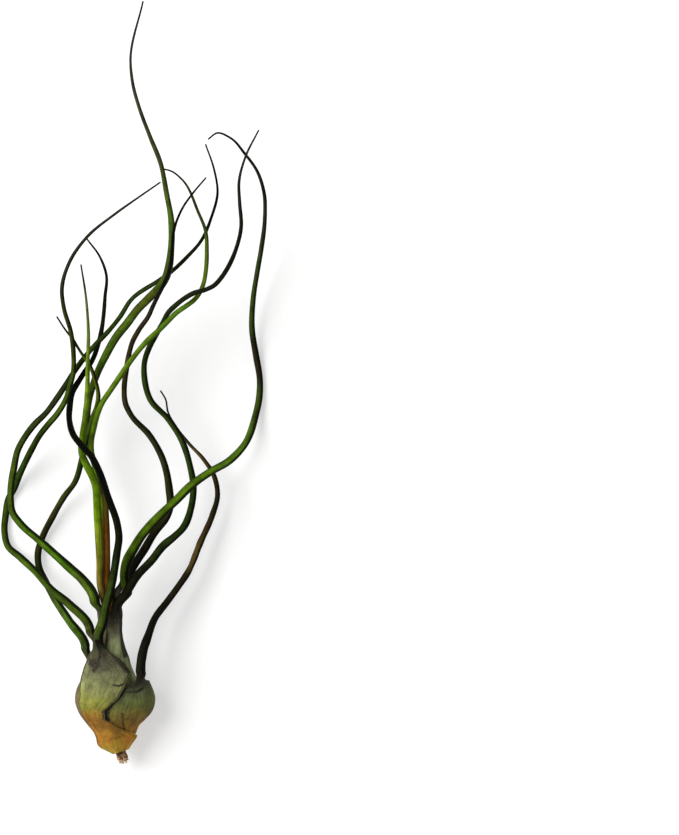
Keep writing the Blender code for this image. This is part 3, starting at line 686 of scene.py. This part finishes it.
# The sheath that bulges on the right, and its brown-black blade
leafOuterRight = {
    "turn": 52, "throat": 32, "seed": 12, "across": 56, "slot": "leaf_old",
    "wrap": [
        (2, 95, 95), (8, 80, 88), (15, 76, 86), (19, 72, 84), (22, 64, 76), (25, 50, 60), (28, 38, 44),
        (32, 28, 34)],
    "width": [(0, 3.6), (0.12, 2.8), (0.5, 2.2), (0.75, 1.4), (0.88, 0.8), (1, 0.6)],
    "route": [
        (143, 651, 19.5), (148, 636, 17.5), (155, 618, 15.5), (167, 602, 13.5), (178, 587, 12),
        (187.5, 573, 11), (201, 541, 9.5), (212, 516, 9), (217.5, 495, 8.7), (214, 476, 9), (204, 460, 10),
        (188.5, 443, 11.6), (175, 425, 13.8), (168, 412, 15.3), (165.5, 399, 16.5), (160.7, 391, 17)],
    "sheathTints": [
        (0, 190, 160, 54), (3, 172, 138, 38), (6, 156, 112, 28), (9, 142, 100, 28), (12, 126, 94, 30),
        (15, 110, 96, 36), (18, 92, 94, 40), (21, 86, 92, 46), (24, 80, 86, 50), (26, 66, 70, 46),
        (28, 54, 54, 40), (30, 44, 42, 33), (32, 30, 28, 22)],
    "bladeTints": [
        (0, 26, 26, 18), (0.1, 16, 16, 10), (0.22, 26, 22, 12), (0.34, 44, 36, 20), (0.42, 92, 76, 36),
        (0.5, 60, 46, 22), (0.6, 40, 38, 14), (0.7, 64, 52, 22), (0.78, 134, 106, 58), (0.84, 84, 60, 36),
        (0.9, 22, 30, 9), (1, 7, 6, 4)],
    "creases": [
        {"line": [(25.6, 24), (25.2, 40), (25.9, 58)], "depth": 0.3, "width": 0.32, "dark": 0.75},
        {"line": [(16.5, 14), (13, 17), (10, 22), (7.5, 30)], "depth": 0.3, "width": 0.3, "dark": 0.7},
        {"line": [(24, 62), (19, 72), (14, 78)], "depth": 0.15, "width": 0.5, "dark": 0.25},
        # a painted shadow line, cast by the front sheath's margin onto this one
        {"line": [(35, 38), (33, 33), (29, 21), (25, 10), (22, -2), (18, -11), (14, -13)],
         "depth": 0.0, "width": 1.2, "dark": 0.95}],
    "patches": [
        {"at": (6.6, 80), "size": (1.6, 2.0), "lift": 0.3},
        {"at": (9.6, 84), "size": (1.2, 2.4), "lift": -0.3, "dark": 0.25},
        {"at": (30.0, 42), "size": (2.8, 5.0), "wrinkle": 0.12, "pitch": 1.5, "dark": 0.6},
        {"at": (27.5, 78), "size": (3.4, 3.0), "wrinkle": 0.08, "pitch": 1.3, "dark": 0.5}],
    "marginPale": 0.4, "sheathBloom": 0.25,
}

# The sheath round the left and under side, and the lowest blade on the left
leafLowLeft = {
    "turn": -110, "throat": 37.5, "seed": 13, "across": 44, "slot": "leaf_old",
    "wrap": [
        (2, 110, 90), (8, 122, 60), (19, 125, 64), (23, 114, 60), (27, 92, 52), (30, 72, 44), (33, 58, 30)],
    "width": [(0, 3.4), (0.12, 2.8), (0.4, 2.3), (0.62, 1.9), (0.82, 1.4), (1, 0.6)],
    "route": [
        (69, 620, 12), (57, 602, 9.5), (50, 590, 7.5), (45, 580, 5.6), (39.6, 569, 4), (38, 553, 2.4),
        (42.5, 537, 2.2), (52, 518, 3.5), (64, 497, 6.5), (75, 482, 10), (81, 463, 14), (83.5, 450, 17.2),
        (88, 434, 20), (93, 416, 22), (96.5, 407, 23), (98.3, 398, 24.5), (97.6, 389, 26), (95, 380, 28),
        (91, 368, 30.2), (87, 361, 31.2), (82, 354, 31.5), (77, 346, 31.4), (73, 339, 31.2),
        (67, 332, 31.2), (57, 317, 31.7)],
    "sheathTints": [
        (0, 190, 152, 60), (8, 160, 116, 56), (14, 130, 92, 58), (20, 108, 84, 60), (26, 104, 102, 60),
        (32, 86, 84, 54), (35, 66, 66, 42), (37.5, 52, 72, 24)],
    "bladeTints": [
        (0, 66, 95, 19), (0.1, 68, 97, 23), (0.2, 44, 58, 10), (0.3, 46, 46, 16), (0.4, 54, 54, 20),
        (0.5, 53, 65, 13), (0.6, 42, 65, 6), (0.7, 70, 104, 10), (0.8, 103, 116, 25), (0.9, 64, 74, 21),
        (1, 13, 11, 9)],
    "sheathBloom": 0.2,
}

# The next one on the left, whose blade turns lowest and furthest left
leafLeft = {
    "turn": -64, "throat": 45.5, "seed": 14, "across": 36, "slot": "leaf_green",
    "wrap": [(2, 90, 90), (19, 95, 95), (34, 70, 60), (41, 45, 40)],
    "width": [(0, 3.4), (0.1, 2.8), (0.35, 2.4), (0.55, 2.0), (0.8, 1.3), (1, 0.6)],
    "route": [
        (69, 604, 16.5), (52, 590, 13.3), (34, 570, 8.5), (20, 557, 5.2), (8, 546, 2.7), (4.6, 531, 1.6),
        (6, 514, 1.1), (9, 498, 1.3), (14, 489, 1.9), (19, 476, 3.5), (25, 463, 6), (32, 449, 9),
        (40, 435, 12.5), (47, 426, 15), (58, 413, 19), (66, 399, 22.8), (69.8, 386, 26.2), (73, 375, 29.2),
        (73.7, 354, 32.5), (71, 332, 35), (64, 308, 36.5), (62, 289, 37.3), (69.6, 262, 38.5),
        (87, 237, 39), (115, 214, 39.5), (139, 197, 40), (160, 182.5, 40)],
    "sheathTints": [
        (0, 140, 100, 44), (20, 120, 110, 56), (34, 100, 98, 60), (40, 96, 78, 58), (43, 78, 66, 46),
        (45.5, 64, 82, 30)],
    "bladeTints": [
        (0, 48, 58, 19), (0.06, 64, 88, 15), (0.15, 68, 95, 15), (0.25, 55, 74, 11), (0.35, 44, 70, 13),
        (0.5, 70, 97, 17), (0.62, 64, 84, 17), (0.7, 44, 51, 17), (0.8, 50, 50, 36), (0.9, 52, 52, 44),
        (1, 36, 46, 19)],
}

# The grey-green sheath at the front of the neck, and the second blade on the right
leafRight = {
    "turn": 14, "throat": 54.5, "seed": 15, "across": 40, "slot": "leaf_green",
    "wrap": [(2, 90, 90), (19, 95, 95), (32, 80, 70), (41, 40, 34), (47, 38, 30), (51, 35, 28)],
    "width": [(0, 3.2), (0.1, 2.8), (0.35, 2.2), (0.6, 1.9), (0.85, 1.3), (1, 0.6)],
    "route": [
        (124, 596, 26.4), (136, 577, 25.5), (152, 560, 23), (163, 546, 20), (175, 536, 17), (183, 528, 15),
        (191, 508, 12), (193.4, 487, 11.3), (190, 466, 12.6), (182, 441, 15.3), (169, 420, 18.3),
        (150, 399, 22.5), (144.7, 380, 25.2), (144.7, 361, 27.3), (149, 348, 29), (157, 333, 30.5),
        (162, 324, 31.5), (168, 313, 33.3), (176, 305, 35.9), (185, 298, 38.2), (194, 293, 39.3),
        (206, 289.5, 40), (214, 285.5, 39.7), (221, 278, 39.2), (227, 269, 38.7), (236, 249, 38),
        (241, 228, 38), (239.5, 201, 38.6), (239, 182, 39.6), (245, 158, 41.5), (258.5, 130.5, 45)],
    "sheathTints": [
        (0, 110, 90, 40), (24, 104, 110, 66), (33, 146, 158, 104), (40, 160, 170, 118), (44, 142, 142, 108),
        (48, 82, 78, 64), (51, 50, 46, 38), (54.5, 30, 32, 24)],
    "bladeTints": [
        (0, 30, 32, 22), (0.08, 26, 28, 14), (0.14, 48, 65, 21), (0.25, 44, 72, 19), (0.35, 51, 72, 23),
        (0.45, 55, 77, 19), (0.55, 44, 65, 17), (0.65, 30, 38, 20), (0.8, 22, 22, 16), (0.9, 50, 50, 44),
        (1, 14, 14, 13)],
    "creases": [
        {"line": [(55, 36), (48, 42), (44, 43), (41, 45), (37, 50)],
         "depth": 0.0, "width": 1.0, "dark": 1.0},
        {"line": [(50, -6), (46, -2), (42, 2)], "depth": 0.08, "width": 0.5, "dark": 0.1}],
    "patches": [{"at": (50.5, 5), "size": (2.2, 4.0), "wrinkle": 0.1, "pitch": 1.2, "dark": 0.55}],
    "marginPale": 0.4, "marginDark": 0.95, "marginReach": 1.6, "sheathBloom": 0.38,
}

# The sheath at the neck's left, and the blade that crosses to the upper right
leafUpperLeft = {
    "turn": -52, "throat": 56, "seed": 16, "across": 36, "slot": "leaf_green",
    "wrap": [(2, 90, 90), (19, 95, 95), (36, 75, 75), (50, 70, 62)],
    "width": [(0, 3.8), (0.1, 3.0), (0.35, 2.3), (0.6, 1.7), (0.8, 1.3), (1, 0.6)],
    "route": [
        (83, 580, 20.3), (70, 568, 19.8), (40, 541, 18.5), (20, 523, 17), (12.5, 512, 16.3),
        (10.7, 500, 16), (11, 487, 16), (14, 468, 16.4), (18, 450, 17), (25, 437, 17.6), (34, 425, 18.4),
        (46, 413, 19.4), (55, 401, 21), (65, 386, 23), (72, 375, 25), (85, 357, 28), (97, 343, 29.8),
        (105, 335, 30.3), (120, 317, 30.3), (131, 300, 30), (158, 281, 30), (171, 272, 30.4),
        (187, 257, 31.5), (201, 241, 33), (211.5, 217, 35), (217.5, 193, 38), (214, 169, 41),
        (205.7, 144.6, 44)],
    "sheathTints": [
        (0, 110, 90, 40), (30, 100, 98, 56), (42, 108, 92, 66), (46, 104, 104, 66), (50, 92, 84, 62),
        (53, 64, 44, 40), (56, 66, 80, 28)],
    "bladeTints": [
        (0, 77, 97, 25), (0.08, 68, 109, 11), (0.2, 66, 95, 13), (0.3, 73, 95, 21), (0.42, 48, 58, 25),
        (0.5, 37, 53, 8), (0.6, 51, 77, 13), (0.7, 51, 70, 30), (0.78, 18, 26, 12), (0.9, 8, 8, 6),
        (1, 15, 14, 13)],
}

# The bright green blade on the right that ends in a hook
leafHooked = {
    "turn": 76, "throat": 57.5, "seed": 17, "across": 36, "slot": "leaf_green",
    "wrap": [(2, 90, 90), (19, 90, 90), (36, 60, 60), (50, 42, 42)],
    "width": [(0, 3.4), (0.05, 3.7), (0.15, 3.4), (0.3, 2.8), (0.5, 2.4), (0.7, 1.8), (0.9, 1.1), (1, 0.6)],
    "route": [
        (124, 577, 23.4), (127, 560, 24.2), (133, 549, 24.7), (141, 536, 25), (152, 523, 25),
        (163, 512, 24.6), (175, 501, 24), (189, 487, 22.3), (209, 472.5, 18), (230, 460, 12), (246, 442, 7),
        (255.5, 415, 2.8), (258.8, 400, 1.6), (259.8, 381, 1.1), (256, 356, 2.2), (252, 330, 5),
        (253, 300, 9), (257, 273, 13), (261, 250, 16.5), (264.7, 220, 21), (264, 193, 25), (257, 171, 28),
        (245, 154, 30.5), (230.5, 138, 32), (217, 133, 32.5), (208.5, 139, 31.5)],
    "sheathTints": [(0, 50, 40, 28), (30, 24, 20, 17), (50, 18, 16, 14), (57.5, 26, 34, 12)],
    "bladeTints": [
        (0, 30, 36, 12), (0.06, 66, 90, 13), (0.12, 81, 111, 15), (0.25, 86, 121, 19), (0.35, 79, 114, 23),
        (0.43, 66, 88, 21), (0.49, 48, 42, 24), (0.53, 50, 48, 20), (0.6, 68, 95, 25), (0.7, 62, 77, 32),
        (0.8, 54, 56, 42), (0.9, 30, 32, 20), (1, 10, 9, 9)],
    "sheathBloom": 0.08,
}

# The brown-black blade that rises behind the hooked one
leafInnerRight = {
    "turn": 132, "throat": 61, "seed": 18, "across": 30, "slot": "leaf_old",
    "wrap": [(2, 90, 90), (19, 85, 85), (36, 60, 60), (50, 40, 45)],
    "width": [(0, 2.8), (0.15, 2.8), (0.35, 2.2), (0.6, 1.8), (0.8, 1.2), (1, 0.6)],
    "route": [
        (127, 579, 17.2), (132, 569, 16.8), (144, 550, 16.5), (156, 530.5, 16.5), (166, 518, 16.5),
        (169.5, 509, 16.7), (169, 487, 17.5), (163, 460, 19), (150, 436, 21), (131, 415, 23),
        (125.6, 404, 24), (124.2, 388, 25.2), (126.3, 370, 26.5), (129, 354, 28), (132, 343, 29),
        (139.5, 329, 30.7), (148, 317, 32.7), (153, 306, 34.7), (158.7, 294.5, 36.3), (164.4, 283, 37.6),
        (168, 274, 38.4), (171, 262, 39.5), (172, 250, 40.5), (174, 230, 41.6), (182, 209, 43),
        (193, 193, 44.5), (205.7, 178, 46)],
    "sheathTints": [(0, 90, 80, 44), (61, 20, 20, 12)],
    "bladeTints": [
        (0, 8, 8, 6), (0.12, 30, 28, 18), (0.2, 44, 51, 19), (0.4, 50, 50, 28), (0.5, 82, 78, 34),
        (0.6, 66, 56, 32), (0.7, 30, 28, 26), (0.8, 10, 10, 8), (1, 18, 18, 17)],
    "sheathBloom": 0.1,
}

# The tallest young leaf
leafTallest = {
    "seed": 19, "across": 24, "slot": "leaf_green",
    "width": [
        (0, 0.9), (0.08, 1.6), (0.2, 2.0), (0.42, 2.0), (0.5, 2.8), (0.6, 2.9), (0.72, 2.0), (0.88, 1.2),
        (1, 0.6)],
    "route": [
        (113, 722, 8.3), (111, 690, 10.0), (109.8, 660, 13.4), (108.4, 625, 16.5), (107.6, 606, 18.0),
        (103.5, 585, 18.0), (103.5, 540, 17.6), (103, 500, 16.4), (98, 478, 15.2), (92, 458, 14.3),
        (88, 445, 14.0), (87.4, 422, 15.4), (89, 403, 18.2), (91.5, 391, 20.5), (96, 376.5, 23.5),
        (105, 357, 26.5), (117, 336, 29), (127, 323.5, 30.5), (138, 309, 31.5), (148, 299, 32.3),
        (155.5, 291.5, 33), (162, 284, 33.4), (166, 277, 34), (169, 266, 35), (171, 250, 37),
        (171.4, 222, 40), (166.5, 193, 43.5), (160.5, 163, 47), (150, 136.5, 50), (139, 107, 53.5),
        (133, 85, 56), (130.5, 62, 58), (143, 1.3, 61)],
    "bladeTints": [
        (0, 120, 100, 50), (0.14, 118, 84, 36), (0.18, 122, 78, 14), (0.24, 112, 92, 20),
        (0.3, 92, 124, 17), (0.4, 55, 79, 15), (0.5, 77, 109, 25), (0.58, 84, 97, 25), (0.6, 62, 79, 21),
        (0.7, 86, 116, 30), (0.8, 75, 86, 40), (0.9, 62, 64, 54), (1, 30, 29, 26)],
    "paintedFlankShade": 0.45,
}

# The young leaf that arches over to the left
leafArching = {
    "seed": 20, "across": 24, "slot": "leaf_young",
    "width": [
        (0, 0.9), (0.08, 1.6), (0.18, 2.1), (0.26, 2.4), (0.35, 2.1), (0.6, 1.9), (0.8, 1.6), (1, 0.6)],
    "route": [
        (116, 722, 9.7), (114.3, 690, 11.8), (113.6, 660, 14.8), (112.2, 625, 18.2), (111.6, 606, 19.9),
        (107, 586, 20.2), (107, 560, 20.6), (106.3, 520, 21), (105, 500, 21.5), (102, 485, 22.2),
        (97, 468, 23), (91.5, 452, 24), (91.4, 440, 25), (93.8, 428, 26), (97, 415, 27), (101.5, 404, 28),
        (110, 391, 29), (117.5, 380, 30), (132, 359, 32), (149, 339, 34), (158, 331, 34.5), (167, 322, 35),
        (176, 313, 35.3), (186, 306, 35.3), (194, 300, 35), (199.5, 293, 35), (203, 285, 35.3),
        (206, 269, 36), (206.8, 250, 37), (206, 233, 38), (198, 211.5, 39.5), (182, 179.5, 42),
        (171, 171, 43), (163.5, 169, 43.4)],
    "bladeTints": [
        (0, 120, 90, 40), (0.16, 92, 64, 26), (0.22, 124, 76, 16), (0.3, 116, 70, 14), (0.36, 104, 84, 16),
        (0.42, 99, 116, 17), (0.5, 110, 146, 27), (0.62, 97, 128, 21), (0.72, 92, 137, 27),
        (0.82, 92, 114, 27), (0.9, 64, 81, 34), (1, 33, 40, 16)],
    "paintedFlankShade": 0.4,
}

# The youngest leaf, short and light green
leafYoungest = {
    "seed": 21, "across": 24, "slot": "leaf_young",
    "width": [
        (0, 0.9), (0.12, 1.6), (0.3, 2.2), (0.4, 2.8), (0.5, 2.7), (0.62, 2.3), (0.78, 1.5), (1, 0.6)],
    "route": [
        (112.5, 722, 10.6), (109.8, 690, 12.8), (108.3, 660, 16.0), (105.9, 625, 19.2), (104.5, 606, 20.9),
        (100.2, 586, 21.9), (100, 560, 22.2), (98.6, 530, 22.4), (97, 505, 23), (96, 488, 23.8),
        (91.5, 475, 24.6), (85.5, 463, 25.5), (81.8, 453, 26.5), (82.6, 437, 28), (83.6, 428, 29),
        (85.5, 415, 30), (86.8, 402, 31.2), (87.4, 389, 32.5), (87.6, 376, 33.6), (87.8, 361, 34.5),
        (88.4, 332, 36.5), (87.4, 313, 38), (85.7, 295, 39.5), (81, 265, 42)],
    "bladeTints": [
        (0, 120, 100, 50), (0.25, 140, 110, 56), (0.32, 120, 110, 34), (0.4, 123, 144, 25),
        (0.5, 92, 128, 10), (0.62, 92, 125, 17), (0.8, 123, 151, 34), (0.92, 101, 114, 57),
        (1, 30, 28, 25)],
    "paintedFlankShade": 0.3,
}

# From the outermost layer inwards, then the young leaves
sheathed = {
    "leaf_front": leafFront, "leaf_outer_right": leafOuterRight, "leaf_low_left": leafLowLeft,
    "leaf_left": leafLeft, "leaf_right": leafRight, "leaf_upper_left": leafUpperLeft,
    "leaf_hooked": leafHooked, "leaf_inner_right": leafInnerRight,
}
young = {"leaf_tallest": leafTallest, "leaf_arching": leafArching, "leaf_youngest": leafYoungest}
sheathedLeaves = list(sheathed.values())

for layer, (name, leaf) in enumerate(sheathed.items()):
    sheathedLeaf(name, leaf, layer)
    print(name, "made")
for name, leaf in young.items():
    youngLeaf(name, leaf)
    print(name, "made")


# The dry stem, with broken roots and loose fibres at its foot
stem = {
    "seed": 5,
    "profile": [(-1.9, 0.9), (-1.6, 1.5), (-0.7, 1.9), (0.4, 1.75), (1.5, 1.8), (4, 2.05), (9.0, 2.05),
                (10.8, 0.8)],      # height along the bulb's axis, radius
    "around": 72,
    "rings": 90,
    "ribs": 40,  # steps round it in which its ribs turn
    "ribHeight": 0.05,  # as a share of its radius
    "ribWaves": ((6, 16), (0, 1), 14),
    "broken": (0.6, 1.8),  # how far down its foot starts and ends to turn pale
    "roots": {
        "count": 5,
        "around": 14,
        "firstTurn": 0.5,
        "spread": (38.0, 10.0, 2.6),  # degrees outwards, more or less by, and how that changes root by root
        "length": (1.65, 0.55, 1.9),  # the same for the length
        "radius": 0.55,
        "wander": 0.12,
    },
    "fibres": {
        "count": 22,
        "around": 8,
        "turn": (0, 6.28),
        "spread": (5, 62),
        "length": (0.7, 2.1),
        "radius": (0.1, 0.24),
        "wander": 0.28,
    },
    "strands": {  # what roots and fibres share
        "height": -0.9,  # where they leave the stem
        "out": 0.45,  # and how far from its axis
        "inside": -0.6,  # they start this far back inside it
        "steps": 26,
        "waver": 0.12,  # unevenness of their thickness
        "waverWaves": ((0, 1), (0.3, 1.4), 8),
        "taper": 0.45,  # how much thinner they end
    },
    "finish": {
        "fibre": (2.2, 6, 0.65, 0.0),
        "patch": (700.0, 5, 0.6, 0.0),
        "pale": (0.0, 1.0, 0.0, 0.36),  # how much paler its broken ends are
        "shade": (0.3, 0.7, 0.55, 1.25),
        "roughness": (0.3, 0.7, 0.75, 0.95),
        "bump": 0.0003,
        "tints": [(0.3, 42, 24, 14), (0.45, 96, 62, 34), (0.58, 168, 128, 82), (0.75, 228, 202, 156)],
    },
}


def stemSkin():
    look = stem["finish"]
    n = Nodes("stem_skin")
    fibre = n.noise(n.attribute("strand", "Vector"), look["fibre"])
    pale = n.spread(n.attribute("pale"), look["pale"])
    tint = n.ramp(n.plus(n.noise(n.spot(), look["patch"]), pale), look["tints"])
    n.feed(n.shader.inputs["Base Color"], n.shade(tint, n.spread(fibre, look["shade"])))
    n.feed(n.shader.inputs["Roughness"], n.spread(fibre, look["roughness"]))
    n.feed(n.shader.inputs["Normal"], n.bump(fibre, look["bump"]).outputs[0])
    return n.skin


# A closed tube from its rings and the middles of its ends, with each point's strand place and paleness
def closedTube(rings, ends, strand, pale):
    quads, fan = skinFaces(*rings.shape[:2], True)
    points = np.vstack([rings.reshape(-1, 3), ends])
    return points, quads, fan, np.vstack([strand.reshape(-1, 3), strand[-1, -1:], strand[0, :1]]), pale


# The stem itself: its radius is its profile, with ribs
def stemBody(rng):
    rows = stem["profile"]
    height = np.linspace(rows[0][0], rows[-1][0], stem["rings"])
    point, along, front, _ = bulbAxis(height)
    share = np.arange(stem["around"]) / stem["around"]
    stepped = np.round(share * stem["ribs"]) / stem["ribs"]
    ribs = ripple(rng, stepped, height[:, None] / 30, *stem["ribWaves"])
    radius = table(height, rows)[:, None] * (1 + stem["ribHeight"] * ribs)
    rings = point[:, None] + radius[..., None] * outwards(along, front, 360 * share)
    pale = np.concatenate([np.repeat(ease(-height, *stem["broken"]), stem["around"]), [0, 1]])
    return closedTube(rings, point[[-1, 0]], strandPlace(2 * np.pi * share, 4, height * 0.3), pale)


# A root or a fibre: it leaves the stem's foot outwards and down, and wanders as it goes
def looseStrand(rng, way, lean, length, thick, wander, around):
    form = stem["strands"]
    steps = form["steps"]
    foot, along, front, side = [value[0] for value in bulbAxis(form["height"])]
    outward = front * math.cos(way) + side * math.sin(way)
    direction = outward * math.sin(lean) - along * math.cos(lean)
    reach = np.linspace(form["inside"], length, steps)
    bend = np.cumsum(rng.normal(0, wander / 5, (steps, 3)), axis=0) * ease(reach, 0, 1)[:, None]
    centre = foot + outward * form["out"] + direction * reach[:, None] + bend
    forward = unit(np.gradient(centre, axis=0))
    uneven = form["waver"] * ripple(rng, 0.0, reach, *form["waverWaves"])
    radius = thick * (1 + uneven) * (1 - form["taper"] * ease(reach, 0, length))
    angles = np.arange(around) * 360 / around
    backs = carry(forward, np.array([0.3, 0.2, 1.0]))
    rings = bladeRings(centre, forward, backs, radius, angles, np.zeros(steps))
    pale = np.concatenate([np.repeat(np.linspace(0, 1, steps), around) ** 6, [1, 0]])
    strand = strandPlace(np.radians(angles), 2, np.arange(steps) * 0.08)
    return closedTube(rings, centre[[-1, 0]], strand, pale)


# Stem, root stubs and loose fibres in one mesh
def makeStem():
    rng = np.random.default_rng(stem["seed"])
    parts = [stemBody(rng)]
    root, fibre = stem["roots"], stem["fibres"]
    for index in range(root["count"]):
        way = 2 * math.pi * index / root["count"] + root["firstTurn"]
        middle, more, change = root["spread"]
        lean = math.radians(middle + more * math.sin(change * index))
        middle, more, change = root["length"]
        length = middle + more * math.cos(change * index)
        parts.append(looseStrand(rng, way, lean, length, root["radius"], root["wander"], root["around"]))
    for _ in range(fibre["count"]):
        way, lean = rng.uniform(*fibre["turn"]), math.radians(rng.uniform(*fibre["spread"]))
        length, thick = rng.uniform(*fibre["length"]), rng.uniform(*fibre["radius"])
        parts.append(looseStrand(rng, way, lean, length, thick, fibre["wander"], fibre["around"]))
    starts = np.cumsum([0] + [len(part[0]) for part in parts[:-1]])
    points, strands, pale = [np.concatenate([part[place] for part in parts]) for place in (0, 3, 4)]
    quads, fans = [np.concatenate([part[place] + start for part, start in zip(parts, starts)])
                   for place in (1, 2)]
    values = {"strand": strands, "pale": pale}
    makePiece("stem_stub", points, quads, fans, values, stemSkin(), "stem")


makeStem()
print("stem made")

# Floor, light and camera
studio = {
    "floorTint": (0.52, 0.52, 0.515, 1.0),
    "floorGlow": 0.5,
    "floorSize": 6.0,
    "floorHeight": -0.0003,
    "floorNoise": (40.0, 4, 0.55, 0.0),
    "floorRoughness": (0.3, 0.7, 0.75, 0.85),
    "white": (1.0, 1.0, 1.0, 1.0),
    "skyStrength": 0.34,
    "keyPower": 35.0,
    "keyPlace": (-0.95, 0.4, 1.2),
    "keySize": 1.1,
}


def makeFloor():
    half, height = studio["floorSize"] / 2, studio["floorHeight"]
    corners = [(x * half, y * half, height) for x, y in ((-1, -1), (1, -1), (1, 1), (-1, 1))]
    mesh = bpy.data.meshes.new("floor")
    mesh.from_pydata(corners, [], [(0, 1, 2, 3)])
    n = Nodes("floor_skin")
    n.feed(n.shader.inputs["Base Color"], studio["floorTint"])
    n.feed(n.shader.inputs["Emission Color"], studio["white"])
    n.feed(n.shader.inputs["Emission Strength"], studio["floorGlow"])
    rough = n.spread(n.noise(n.spot(), studio["floorNoise"]), studio["floorRoughness"])
    n.feed(n.shader.inputs["Roughness"], rough)
    mesh.materials.append(n.skin)
    floor = addObject("floor", mesh)


def makeLight():
    world = bpy.data.worlds.new("studio")
    world.use_nodes = True
    sky = world.node_tree.nodes["Background"]
    sky.inputs["Color"].default_value = studio["white"]
    sky.inputs["Strength"].default_value = studio["skyStrength"]
    bpy.context.scene.world = world
    data = bpy.data.lights.new("key", "AREA")
    data.energy, data.size = studio["keyPower"], studio["keySize"]
    key = addObject("key", data)
    x, y, z = studio["keyPlace"]
    key.location = (x, y, z)
    key.rotation_euler = (math.acos(z / math.hypot(x, y, z)), 0, math.atan2(y, x) + math.pi / 2)


def makeCamera():
    data = bpy.data.cameras.new("camera")
    data.sensor_width = photo["sensor"]
    data.lens = photo["sensor"] * photo["height"] / (photo["pixel"] * photo["rows"])
    data.clip_start, data.clip_end = photo["clip"]
    camera = addObject("camera", data)
    camera.location = np.array([*pictureMiddle, photo["height"] + photo["level"]]) * millimetre
    bpy.context.scene.camera = camera
    bpy.context.scene.view_settings.view_transform = "Standard"


makeFloor()
makeLight()
makeCamera()
print("studio made")
